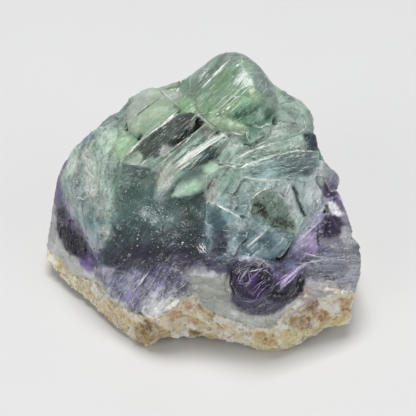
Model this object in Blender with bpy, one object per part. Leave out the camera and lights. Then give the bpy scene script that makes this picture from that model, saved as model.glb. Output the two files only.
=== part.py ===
# Fluorite freeform: one intergrown mass of fluorite crystals on a quartz druse crust.
#
# The stone is one solid. It is laid out as a real specimen would be described:
#   - a steep irregular mound of fluorite (CORE_RINGS),
#   - crystals and cleavage blocks that stand on it, each one a convex block (FRONT_BLOCKS, BACK_BLOCKS),
#   - a ring of granular quartz crust around its foot (RIM), undercut between the points it stands on,
#   - a flat patch underneath that it rests on.
# Every block is a convex hull; all of them are joined by one exact Boolean union.
#
# Corners of the front crystals are stated as seen from the reference view: a sight line (u, v) on a
# square view of VIEW_SIDE units, and the depth y at which the corner lies on that line.
import math

import bmesh
import bpy
from mathutils import Vector

MM = 0.001
# Driving dimensions, in millimetres and degrees
UNIT_MM = 0.2884          # width of one view unit at the middle of the stone
VIEW_SIDE = 416           # units across the square view
VIEW_DISTANCE = 333.0     # eye to the middle of the stone
VIEW_TILT = 38.0          # how far the sight line looks down
VIEW_CENTRE = (1.7, 0.0, 23.4)   # where the middle of the view meets the stone
CENTRE_SHIFT = (1.30, -0.29)      # moves the finished stone over its origin
HEART = (2.0, 7.0, 22.0)         # the point that the blocks grow from
ROOT = 0.5                       # how far a block's root reaches towards the heart
OVERLAP = 0.35                   # how far each block grows into its neighbours

_tilt = math.radians(VIEW_TILT)
FORWARD = Vector((0.0, math.cos(_tilt), -math.sin(_tilt)))
UP = Vector((0.0, math.sin(_tilt), math.cos(_tilt)))
EYE = Vector(VIEW_CENTRE) - FORWARD * VIEW_DISTANCE


def sight(u, v):
    """Direction of the sight line through (u, v)."""
    half = VIEW_SIDE / 2
    return FORWARD * VIEW_DISTANCE + Vector((1, 0, 0)) * ((u - half) * UNIT_MM) + UP * ((half - v) * UNIT_MM)


def at_y(u, v, y):
    """The point of the sight line (u, v) that lies at depth y."""
    way = sight(u, v)
    return EYE + way * ((y - EYE.y) / way.y)


def at_z(u, v, z):
    """The point of the sight line (u, v) that lies at height z."""
    way = sight(u, v)
    return EYE + way * ((z - EYE.z) / way.z)


# The mound inside the blocks: level -> outline (x, y)
CORE_RINGS = {
    0.0: [(-22, -4), (-14, -22), (16, -25), (28, -17), (31, 4), (22, 19), (-3, 23), (-19, 14)],
    3.0: [(-40, 2), (-34, -8), (-22, -24), (-13, -31), (20, -33), (31, -27), (38, -24), (41, -10),
          (39, 8), (30, 22), (13, 31), (-8, 32), (-25, 25), (-36, 13)],
    18.0: [(-40, 2), (-31, -10), (-20, -18), (-8, -25), (10, -28), (28, -27), (40, -20), (42, -10), (39, 5), (27, 21), (10, 30), (-10, 30), (-29, 21), (-37, 12)],
    40.0: [(-33, 5), (-22, -7), (-8, -14), (4, -16), (18, -14), (28, -6), (32, 2), (25, 14), (8, 24), (-12, 22), (-27, 15)],
    56.0: [(-20, 8), (-12, -1), (0, -4), (10, -7), (22, -3), (28, 4), (20, 10), (6, 17), (-10, 14)],
    64.0: [(0, 8), (6, 2), (13, 3), (16, 7), (8, 12)],
}

# Crystals of the front and top: corners (u, v, y)
FRONT_BLOCKS = {
    "dark_face": [(99, 263, -21), (128, 268, -25.5), (155, 268, -28), (176, 259, -29), (206, 261, -30), (209, 205, -22.5),
                  (206, 170, -17), (176, 166, -16.5), (150, 167, -15.5), (121, 164, -12), (111, 195, -15.5), (99, 236, -19)],
    "left_flank": [(70, 152, 5), (84, 137, 8), (102, 127, 6), (125, 131, -2), (131, 150, -7), (121, 165, -11.5),
                   (111, 197, -15.5), (99, 236, -19), (99, 262, -20.5), (88, 240, -14), (70, 200, -4), (62, 176, 2)],
    "left_rim": [(75, 146, 9), (62, 165, 8), (56, 183, 6), (52, 202, 5), (50, 222, 3), (53, 240, 0), (72, 264, -8),
                 (99, 268, -19.5), (99, 240, -17.5), (70, 200, -3), (64, 176, 3)],
    "left_apron": [(46, 247, 2), (49, 228, 3.5), (54, 240, 0.5), (72, 262, -8), (88, 270, -14.5), (99, 269, -20), (95, 281, -18),
                   (76, 272, -10), (58, 262, -4.5)],
    "left_block": [(126, 108, 3), (134, 98, 6), (143, 91, 8.5), (151, 88, 9), (159, 89, 9), (165, 92, 8), (175, 103, 1),
                   (174, 107, -1.5), (152, 126, -6), (136, 134, -6.5), (128, 130, -3), (126, 118, 0)],
    "green_window": [(128, 130, -2), (136, 134, -6), (134, 146, -9), (123, 160, -10.5), (117, 150, -7), (119, 136, -2)],
    "back_left_ridge": [(84, 136, 10), (101, 126, 12), (111, 116.5, 13), (127, 107.5, 11), (126, 118, 1), (119, 136, -1), (102, 129, 6)],
    "side_slab": [(135, 145, -8.5), (152, 126, -6), (174, 107, -1.5), (178, 111, -4), (152, 134, -9.5), (122, 161, -11.5)],
    "cube": [(177, 89, 5), (187, 78, 8), (193.5, 76.5, 8), (199, 90, 0), (200, 105, -5), (194, 111, -7.5),
             (185, 112, -7), (175, 103, -1.5)],
    "ridge_infill": [(158, 89, 9), (170, 87, 10), (180, 85.5, 10), (178, 100, 0), (172, 104, 2), (164, 95, 8)],
    "crown": [(188, 79, 6), (194, 76.7, 7.5), (203, 67.5, 9), (211, 60, 9.5), (219, 54, 9.5), (230, 52.5, 9), (241, 53.8, 7.5),
              (251, 58.5, 5.5), (259, 66.8, 3.5), (270.6, 80, -0.5), (276, 89, -2.5), (278, 97, -3.5), (273.5, 107, -6),
              (262, 116, -10), (249, 124, -13.5), (232, 125, -14), (213, 119, -12), (198, 108, -6.5), (191, 95, -1),
              (237, 55, 4), (247, 72, -2.5), (256, 84, -6.5), (257, 97, -9.5)],
    "crown_skirt": [(197, 108, -6.5), (196, 113, -8), (208, 123, -11), (220, 131, -13), (234, 133.5, -14.5), (244, 135.5, -15),
                    (250, 126, -13.5), (232, 122, -12.5), (213, 115, -9)],
    "dark_wedge": [(246, 124, -13.5), (249.5, 144, -16.5), (257, 143, -16), (273, 127, -10), (272, 112, -7), (259, 115, -9.5)],
    "glint_slab_1": [(120.5, 162.5, -12.5), (152, 134.5, -10), (177.5, 113.5, -6), (190, 112, -6.5), (196, 113.5, -7.5),
                     (195, 119, -9), (184, 144, -15), (166, 160, -16.5), (150, 168, -16.5)],
    "glint_slab_2": [(152, 170, -17), (166, 160.5, -16.5), (185, 144, -15), (206.5, 123.5, -10.5), (217, 131, -13.5),
                     (209, 138, -15.5), (179, 160, -19), (164, 172, -19)],
    "glint_slab_3": [(162, 173, -19), (178, 160, -19), (209, 138, -15.5), (222, 134, -14), (228, 138, -15.5), (217, 148, -18.5),
                     (200, 163, -21), (181, 175, -22), (168, 190, -22), (158, 196, -20.5), (157, 182, -19)],
    "mint_window": [(171, 196, -22.5), (183, 176, -21.5), (202, 163, -19.5), (217, 160, -18), (218, 172, -20), (204, 190, -23), (186, 197, -23.5)],
    "shoulder": [(276, 99, 5), (280, 97, 6.5), (288, 96.5, 7.5), (301, 99, 7), (308, 106, 5), (313, 117, 2), (314, 129, -1),
                 (310, 132, -4), (291, 129, -7), (276, 122, -7)],
    "under_shoulder": [(273, 126, -9), (290, 129, -6.5), (303, 134, -5.5), (308, 146, -8), (297, 152, -10.5), (262, 160, -16),
                       (240, 167, -18), (229, 160, -18), (236, 155, -17), (249, 145, -15.5), (257, 143, -15)],
    "blade_upper": [(239, 157, -18.2), (258, 149, -16.4), (277, 144.5, -13.6), (280, 153.5, -14.6), (262, 160.5, -17), (241, 168, -19)],
    "dark_patch": [(303, 134, -5), (310, 130, -2), (315, 135.5, -2), (319.5, 150, -5), (311, 152, -8), (306, 146, -8)],
    "slab": [(241, 169, -20), (262, 160.5, -17.5), (281, 154, -14.5), (297, 151.5, -11.5), (320, 151, -6), (319, 166, -8),
             (315, 180, -11), (300, 181.5, -15.5), (280, 180, -19), (247, 178, -22)],
    "web": [(206, 164, -17.5), (222, 140, -15), (232, 134, -14), (249, 146, -15.5), (240, 157, -17.5), (241, 169, -19.5), (228, 166, -19.5)],
    "centre_pyramid": [(206, 166, -17.5), (227, 165, -19.5), (241, 170, -20.5), (247, 180, -22), (252, 198, -25), (248, 214, -26.5),
                       (244, 218, -27), (222, 208, -26), (207, 201, -23), (205, 184, -20)],
    "right_face": [(247, 181, -22), (262, 190, -23.5), (270, 187, -22), (285, 181, -19), (301, 183, -15.5), (315, 181, -11.5),
                   (321, 205, -14), (312, 222, -18.5), (298, 240, -25), (291, 241, -26.5), (266, 230, -28.5), (249, 224, -28),
                   (250, 209, -26.5), (251.5, 199, -25)],
    "rough_facet": [(252, 199, -26), (259, 192, -25.2), (270, 187.5, -23.5), (280, 195.5, -23.8), (288, 204, -24.2), (293, 215, -25.2),
                    (296, 226, -26), (294, 239, -27.8), (277, 233, -29), (264, 225, -29), (253, 214, -27.8)],
    "right_pane": [(297, 184, -16), (315, 181, -11), (322, 190, -11), (325, 204, -12.5), (316, 219, -17.5), (304, 226, -21), (303, 205, -18.5)],
    "lower_centre": [(207, 203, -24), (222, 208, -26.3), (244, 218, -28), (250, 225, -29), (266, 231, -29.5), (290, 242, -28.5),
                     (278, 257, -30.5), (258, 260, -32), (235, 260, -31.5), (207, 262, -30.5)],
    "teal_tooth": [(245, 246, -31.4), (266, 231, -30.2), (289, 243, -29.3), (276, 257, -31.3), (256, 260, -32.6)],
    "lilac_wedge": [(296, 240, -26), (312, 224, -20), (326, 206, -15), (330, 214, -17), (318, 230, -21.5), (317, 247, -25.5),
                    (303, 262, -29), (284, 262, -31)],
    "cavity_wall": [(326, 205, -13.5), (341, 199, -9), (344, 212, -11), (346, 224, -14), (353, 231, -16.5), (350, 244, -21),
                    (335, 246, -24), (320, 246, -25), (318, 232, -21)],
    "knob": [(318, 160, -2), (325, 161.5, -1), (328.5, 170, -2), (336, 173, -2), (339.5, 180, -4), (336, 190, -6.5), (330, 198, -9),
             (320, 196, -9.5), (315, 181, -8)],
    "knob_tail": [(320, 194, -9), (331, 190, -6), (338, 192, -5.5), (342, 202, -8), (344, 212, -11), (333, 212, -14), (325, 206, -13)],
    "right_shelf": [(303, 262, -28.5), (318, 247, -25.5), (338, 246, -24), (352, 236, -18), (359, 243, -19), (361.5, 257, -20.5),
                    (360.5, 276, -24), (356, 292, -27), (340, 291, -30), (306, 293, -33.5), (300, 277, -31.5)],
    "purple_boss": [(226, 286, -35.5), (230, 266, -33.5), (241, 259, -32.5), (259, 259, -32.8), (272, 270, -34), (290, 270, -32.5),
                    (304, 268, -30.5), (305, 277, -31.8), (300, 289, -34), (288, 301, -36), (273, 312.5, -38), (247, 311.5, -38),
                    (233, 306, -37.3), (252, 283, -37.5), (270, 290, -37.8)],
    "lilac_apron": [(99, 264, -20.8), (128, 269, -26), (156, 269, -28.5), (176, 262, -29.5), (206, 262, -30.5), (212, 274, -33),
                    (192, 292, -34), (170, 311, -36), (150, 316, -35), (126, 310, -30), (114, 301, -27), (95, 280, -19)],
    "quartz_saddle": [(186, 274, -32), (206, 266, -31.5), (226, 270, -34), (231, 300, -37), (228, 318, -37), (208, 308, -35), (186, 294, -34)],
    "quartz_lip": [(229, 303, -36.6), (247, 312, -37.6), (273, 313.5, -37.6), (289, 301, -35.6), (305, 290, -33.6), (330, 290, -31.4),
                   (304, 299, -34.2), (280, 322, -37.4), (262, 328, -37.6), (240, 324, -36.8), (227, 318, -36.6)],
}

# Blocks of the back and sides: corners (x, y, z)
BACK_BLOCKS = {
    "crown_back": [(-4, 10.5, 60.0), (3, 11, 65.0), (10, 11, 66.0), (17, 9.5, 61.5), (22.5, 9.5, 52), (22, 17, 44.5), (11, 21, 50.5),
                   (3, 20.5, 52), (-5, 18, 50), (-9, 13.5, 54)],
    "ridge_back": [(-33, 10, 38.0), (-27, 9, 43.0), (-19, 10.5, 49.0), (-10.5, 14, 51.5), (-6, 19, 48), (-13, 23, 40.5),
                   (-24, 22, 35), (-33, 15, 33)],
    "shoulder_back": [(22, 11, 50), (27, 8, 48.5), (32, 6, 42.5), (35, 8, 33.5), (33, 16, 30.5), (24.5, 21.5, 35), (17, 19.5, 43)],
    "back_centre": [(-12.5, 23, 41.5), (-5, 20, 48), (3, 21.5, 50), (11, 22.5, 48), (17, 21, 42), (18.5, 28.5, 30), (8, 32.5, 28.5),
                    (-7, 32.5, 29), (-16, 28, 33)],
    "back_left_upper": [(-33, 15.5, 32.5), (-24, 23, 34.5), (-14, 24, 40), (-17, 29, 31), (-26, 29.5, 22), (-36, 20.5, 21.5), (-37.5, 13, 28)],
    "back_right_upper": [(35.5, 9, 32), (33, 17, 29.5), (25, 22.5, 34.5), (18.5, 22.5, 40), (19.5, 28.5, 30), (27, 28, 20.5), (35.5, 18, 19.5), (38, 10, 23)],
    "back_left_foot": [(-36, 20, 21.5), (-26, 29, 21.5), (-18, 30.5, 27.5), (-13, 35.5, 16), (-16, 35.5, 9.5), (-27, 31, 9), (-37.5, 21, 9.5)],
    "back_centre_foot": [(-17, 30, 29), (-7.5, 33.5, 28.5), (6, 34.0, 27.5), (12, 35, 20), (13, 37, 10), (-2, 38.5, 9.5), (-14, 36.5, 10)],
    "back_right_foot": [(8, 33.5, 27.5), (18, 29.5, 29), (27, 28.5, 20), (26, 32, 10), (14, 37, 10)],
    "right_back_foot": [(27, 28, 20.5), (35.5, 19, 19.0), (40.0, 13, 11), (36, 22, 10), (27, 31, 10)],
    "right_heel": [(35.5, 18, 19.0), (38.3, 9.5, 23), (41, 2, 19), (43, -2, 14.0), (43.5, 4, 10), (41.0, 12, 10)],
    "right_wall_upper": [(33, 4.5, 41), (36.5, -2, 34), (38.5, -6, 27), (41, 1, 20), (38.5, 9, 24), (35.5, 9, 32)],
    "right_wall_lower": [(38.5, -7, 26), (42, -14, 20.5), (44, -18, 17), (44.3, -10, 12.5), (43.5, -2.5, 13.5), (41, 1, 19.5)],
    "left_wall_upper": [(-35, 9.5, 36.5), (-38.5, 6.5, 31), (-41.5, 5, 24), (-40.5, 12, 21.5), (-37, 15, 25), (-33.5, 14, 33.5)],
    "left_wall_lower": [(-42, 4.5, 23.5), (-44.5, 3, 16), (-45.5, 3, 9.5), (-43.5, 11, 9.5), (-39, 18, 10), (-37, 18.5, 20.5), (-40.5, 11, 21.5)],
    # smaller blocks that stand out of the larger ones
    "back_step_1": [(-22, 25.5, 31), (-14, 26.5, 35), (-9, 30.5, 31), (-12, 34.5, 23), (-21, 32.5, 22)],
    "back_step_2": [(2, 24.5, 45.5), (9, 25, 45), (14, 28, 37), (8, 33.0, 33), (1, 32.5, 35)],
    "back_step_3": [(24, 26.5, 29), (30, 24.5, 28), (34, 21.5, 20), (30, 26.5, 15), (24, 30.5, 18)],
    "back_step_4": [(-4, 34.5, 24), (4, 36, 22), (6, 37.8, 14), (-3, 38.6, 13), (-8, 36.8, 18)],
    "back_step_5": [(25, 13.5, 43), (30, 10.5, 42.5), (33, 11.5, 34), (29, 18, 34), (24, 19.5, 38)],
    "back_step_6": [(-30, 14.5, 37.5), (-23, 16, 41), (-18, 20, 39.5), (-22, 24, 34), (-29, 21, 32)],
    "back_step_7": [(-35, 20.5, 18), (-30, 26, 19), (-25, 30, 13), (-31, 28.5, 9.5), (-38, 20.5, 11)],
    "back_step_8": [(5, 16.5, 58.5), (12, 16.5, 57), (16, 17.5, 51), (11, 21.5, 49), (4, 21, 51)],
}

# Foot of the stone: stations around the crust, clockwise from its left end.
# Front stations: (u, v, z) of the lower edge and (u, v, y) of the upper edge
RIM_FRONT = [
    ((44, 256, 6.0), (46, 246, 2.0)), ((54, 269, 4.5), (58, 261, -4.0)), ((65, 280, 3.5), (76, 271, -9.5)),
    ((80, 294, 2.5), (94, 281, -17.0)), ((95, 309, 1.5), (104, 290, -21.5)), ((110, 323, 1.0), (115, 303, -26.5)),
    ((123, 333, 0.5), (125, 312, -30.0)), ((136, 344, 0.0), (138, 318, -33.5)), ((148, 350, 0.0), (152, 318, -35.3)),
    ((158, 344, 1.0), (168, 311, -35.8)), ((170, 339, 2.0), (180, 299, -34.2)), ((190, 337.5, 2.5), (192, 296, -34.2)),
    ((202, 337, 2.8), (203, 305, -34.8)), ((214, 339.5, 2.5), (214, 315, -35.8)), ((229, 344.5, 1.5), (230, 321, -36.8)),
    ((247, 349, 0.8), (246, 326, -37.4)), ((266, 353, 0.0), (264, 329, -38.0)), ((280, 353.5, 0.0), (278, 322, -37.8)),
    ((297, 347, 1.0), (292, 306, -36.0)), ((310, 339, 2.0), (304, 295, -33.8)), ((323, 329.5, 3.2), (325, 291, -31.8)),
    ((338, 326.5, 4.0), (340, 292, -30.3)), ((348.5, 324, 4.5), (354, 294, -27.5)),
]
# Back stations: lower edge (x, y, z) and upper edge (x, y, z)
RIM_BACK = [
    ((42.5, -19, 5.0), (43.5, -18, 15)), ((43.5, -9, 4.5), (44.0, -8, 12.5)), ((43.0, 3, 4.0), (43.5, 3, 11.5)),
    ((39.5, 13, 3.5), (40.0, 13, 11)), ((33.0, 22, 3.0), (34.0, 22, 11)), ((24.0, 30, 2.5), (25.0, 30, 11)),
    ((12.0, 35, 2.5), (13.0, 35.5, 10)), ((-2.0, 36.5, 2.0), (-2.0, 37.0, 10)), ((-14.0, 34, 2.5), (-14.5, 35.0, 11)),
    ((-26.0, 29, 3.0), (-26.0, 30.0, 11)), ((-35.0, 21, 3.5), (-36.0, 21.0, 11)), ((-42.0, 12, 4.5), (-43.0, 12.0, 11)),
]


def rooted(corners, root=ROOT):
    """A block's corners, grown a little into its neighbours, and the narrower root that anchors it in the mound."""
    heart = Vector(HEART)
    middle = sum(corners, Vector()) / len(corners)
    grown = [c + (c - middle).normalized() * OVERLAP for c in corners]
    return grown + [c.lerp(heart, root) for c in grown]


def hull(name, corners):
    """A closed convex block through these corners, in millimetres."""
    shape = bmesh.new()
    for c in corners:
        shape.verts.new((c.x * MM, c.y * MM, c.z * MM))
    found = bmesh.ops.convex_hull(shape, input=shape.verts)
    loose = {e for e in found["geom_interior"] + found["geom_unused"] if isinstance(e, bmesh.types.BMVert)}
    bmesh.ops.delete(shape, geom=list(loose), context="VERTS")
    bmesh.ops.dissolve_limit(shape, angle_limit=math.radians(0.5), verts=shape.verts, edges=shape.edges)
    bmesh.ops.recalc_face_normals(shape, faces=shape.faces)
    mesh = bpy.data.meshes.new(name)
    shape.to_mesh(mesh)
    shape.free()
    obj = bpy.data.objects.new(name, mesh)
    return obj


def rim_stations():
    low = [at_z(*a) for a, _ in RIM_FRONT] + [Vector(a) for a, _ in RIM_BACK]
    high = [at_y(*b) for _, b in RIM_FRONT] + [Vector(b) for _, b in RIM_BACK]
    return low, high


def blocks():
    """Every convex block of the stone, by name, in millimetres."""
    made = {}
    levels = sorted(CORE_RINGS)
    for low, high in zip(levels, levels[1:]):
        made[f"mound_{low:g}"] = [Vector((x, y, z)) for z in (low, high) for x, y in CORE_RINGS[z]]
    for name, corners in FRONT_BLOCKS.items():
        made[name] = rooted([at_y(*c) for c in corners])
    for name, corners in BACK_BLOCKS.items():
        made[name] = rooted([Vector(c) for c in corners])
    low, high = rim_stations()
    count = len(low)
    for i in range(count):
        j = (i + 1) % count
        face = [low[i], low[j], high[i], high[j]]
        inner = [Vector((p.x * 0.6, p.y * 0.6, min(p.z, 12.0))) for p in face]
        made[f"crust_{i:02d}"] = face + inner
    return made


def material(name, colour, roughness, metallic=0.0, transmission=0.0):
    mat = bpy.data.materials.new(name)
    mat.use_nodes = True
    shader = mat.node_tree.nodes["Principled BSDF"]
    shader.inputs["Base Color"].default_value = (*colour, 1.0)
    shader.inputs["Roughness"].default_value = roughness
    shader.inputs["Metallic"].default_value = metallic
    shader.inputs["Transmission Weight"].default_value = transmission
    shader.inputs["IOR"].default_value = 1.434
    return mat


def keep_outer_shell(shape):
    """Blocks that lean together close small hollows between them; only the outside of the stone stays."""
    free = set(shape.faces)
    shells = []
    while free:
        start = free.pop()
        shell, edge = [start], [start]
        while edge:
            found = []
            for face in edge:
                for side in face.edges:
                    if len(side.link_faces) != 2:
                        continue
                    for other in side.link_faces:
                        if other in free:
                            free.remove(other)
                            found.append(other)
            shell += found
            edge = found
        shells.append(shell)
    shells.sort(key=lambda shell: sum(face.calc_area() for face in shell))
    for shell in shells[:-1]:
        bmesh.ops.delete(shape, geom=shell, context="FACES")
    print("hollows closed", len(shells) - 1)


def main():
    for obj in list(bpy.data.objects):
        bpy.data.objects.remove(obj)
    scene = bpy.context.scene
    growths = bpy.data.collections.new("growths")
    scene.collection.children.link(growths)
    shapes = blocks()
    first = hull("fluorite_freeform", shapes.pop("mound_0"))
    scene.collection.objects.link(first)
    for name, corners in shapes.items():
        block = hull("block_" + name, corners)
        block.hide_render = True
        block.display_type = "WIRE"
        growths.objects.link(block)
    union = first.modifiers.new("grown together", "BOOLEAN")
    union.operation = "UNION"
    union.operand_type = "COLLECTION"
    union.collection = growths
    union.solver = "EXACT"
    bpy.context.view_layer.update()
    graph = bpy.context.evaluated_depsgraph_get()
    solid = bpy.data.meshes.new_from_object(first.evaluated_get(graph))
    first.modifiers.clear()
    first.data = solid
    tidy = bmesh.new()
    tidy.from_mesh(solid)
    bmesh.ops.remove_doubles(tidy, verts=tidy.verts, dist=0.00002)
    keep_outer_shell(tidy)
    bmesh.ops.dissolve_limit(tidy, angle_limit=math.radians(0.3), verts=tidy.verts, edges=tidy.edges)
    bmesh.ops.triangulate(tidy, faces=tidy.faces)
    bmesh.ops.translate(tidy, verts=tidy.verts, vec=Vector((CENTRE_SHIFT[0] * MM, CENTRE_SHIFT[1] * MM, 0)))
    tidy.to_mesh(solid)
    tidy.free()
    solid.materials.clear()
    solid.materials.append(material("fluorite", (0.24, 0.38, 0.33), 0.25, transmission=0.4))
    for block in list(growths.objects):
        bpy.data.objects.remove(block)
    bpy.data.collections.remove(growths)
    low = [min(v.co[i] for v in solid.vertices) * 1000 for i in range(3)]
    high = [max(v.co[i] for v in solid.vertices) * 1000 for i in range(3)]
    print("box mm", [round(x, 2) for x in low], [round(x, 2) for x in high], "triangles", len(solid.polygons))


main()
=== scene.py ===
import math

import bmesh
import bpy
import numpy as np
from mathutils import Matrix, Vector
from mathutils.bvhtree import BVHTree


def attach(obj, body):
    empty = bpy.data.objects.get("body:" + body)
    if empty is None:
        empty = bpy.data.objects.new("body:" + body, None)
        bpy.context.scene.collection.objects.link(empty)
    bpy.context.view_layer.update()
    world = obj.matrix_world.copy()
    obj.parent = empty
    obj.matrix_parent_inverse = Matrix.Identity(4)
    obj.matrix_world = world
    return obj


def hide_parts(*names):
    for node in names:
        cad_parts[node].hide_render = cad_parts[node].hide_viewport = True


# Looks of the fluorite freeform: clear zoned fluorite on a granular quartz crust, on a pale studio floor.
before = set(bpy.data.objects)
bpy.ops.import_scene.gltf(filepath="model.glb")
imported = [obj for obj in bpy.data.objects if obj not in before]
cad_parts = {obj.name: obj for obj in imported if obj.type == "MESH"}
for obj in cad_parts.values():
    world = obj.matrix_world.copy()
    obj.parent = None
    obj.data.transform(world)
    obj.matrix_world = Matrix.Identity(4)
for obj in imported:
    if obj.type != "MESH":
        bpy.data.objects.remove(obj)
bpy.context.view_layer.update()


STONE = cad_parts["fluorite_freeform"]

MM = 0.001
# Reference view, the same as the solid's: millimetres
UNIT_MM = 0.2884
VIEW_SIDE = 416
VIEW_DISTANCE = 333.0
VIEW_TILT = 38.0
SHIFT = np.array((1.30, -0.29, 0.0))
VIEW_CENTRE = np.array((1.7, 0.0, 23.4))
VOXEL_MM = 0.37

_t = math.radians(VIEW_TILT)
RIGHT = np.array((1.0, 0.0, 0.0))
FORWARD = np.array((0.0, math.cos(_t), -math.sin(_t)))
UP = np.array((0.0, math.sin(_t), math.cos(_t)))
EYE = VIEW_CENTRE + SHIFT - FORWARD * VIEW_DISTANCE


def sight(u, v):
    half = VIEW_SIDE / 2
    way = FORWARD * VIEW_DISTANCE + RIGHT * ((u - half) * UNIT_MM) + UP * ((half - v) * UNIT_MM)
    return way


def at_y(u, v, y):
    way = sight(u, v)
    return EYE + way * ((y + SHIFT[1] - EYE[1]) / way[1])


def at_z(u, v, z):
    way = sight(u, v)
    return EYE + way * ((z - EYE[2]) / way[2])


def project(p):
    """(u, v, depth) of points, in view units and millimetres."""
    d = p - EYE
    depth = d @ FORWARD
    k = VIEW_DISTANCE / depth / UNIT_MM
    return VIEW_SIDE / 2 + (d @ RIGHT) * k, VIEW_SIDE / 2 - (d @ UP) * k, depth


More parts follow.
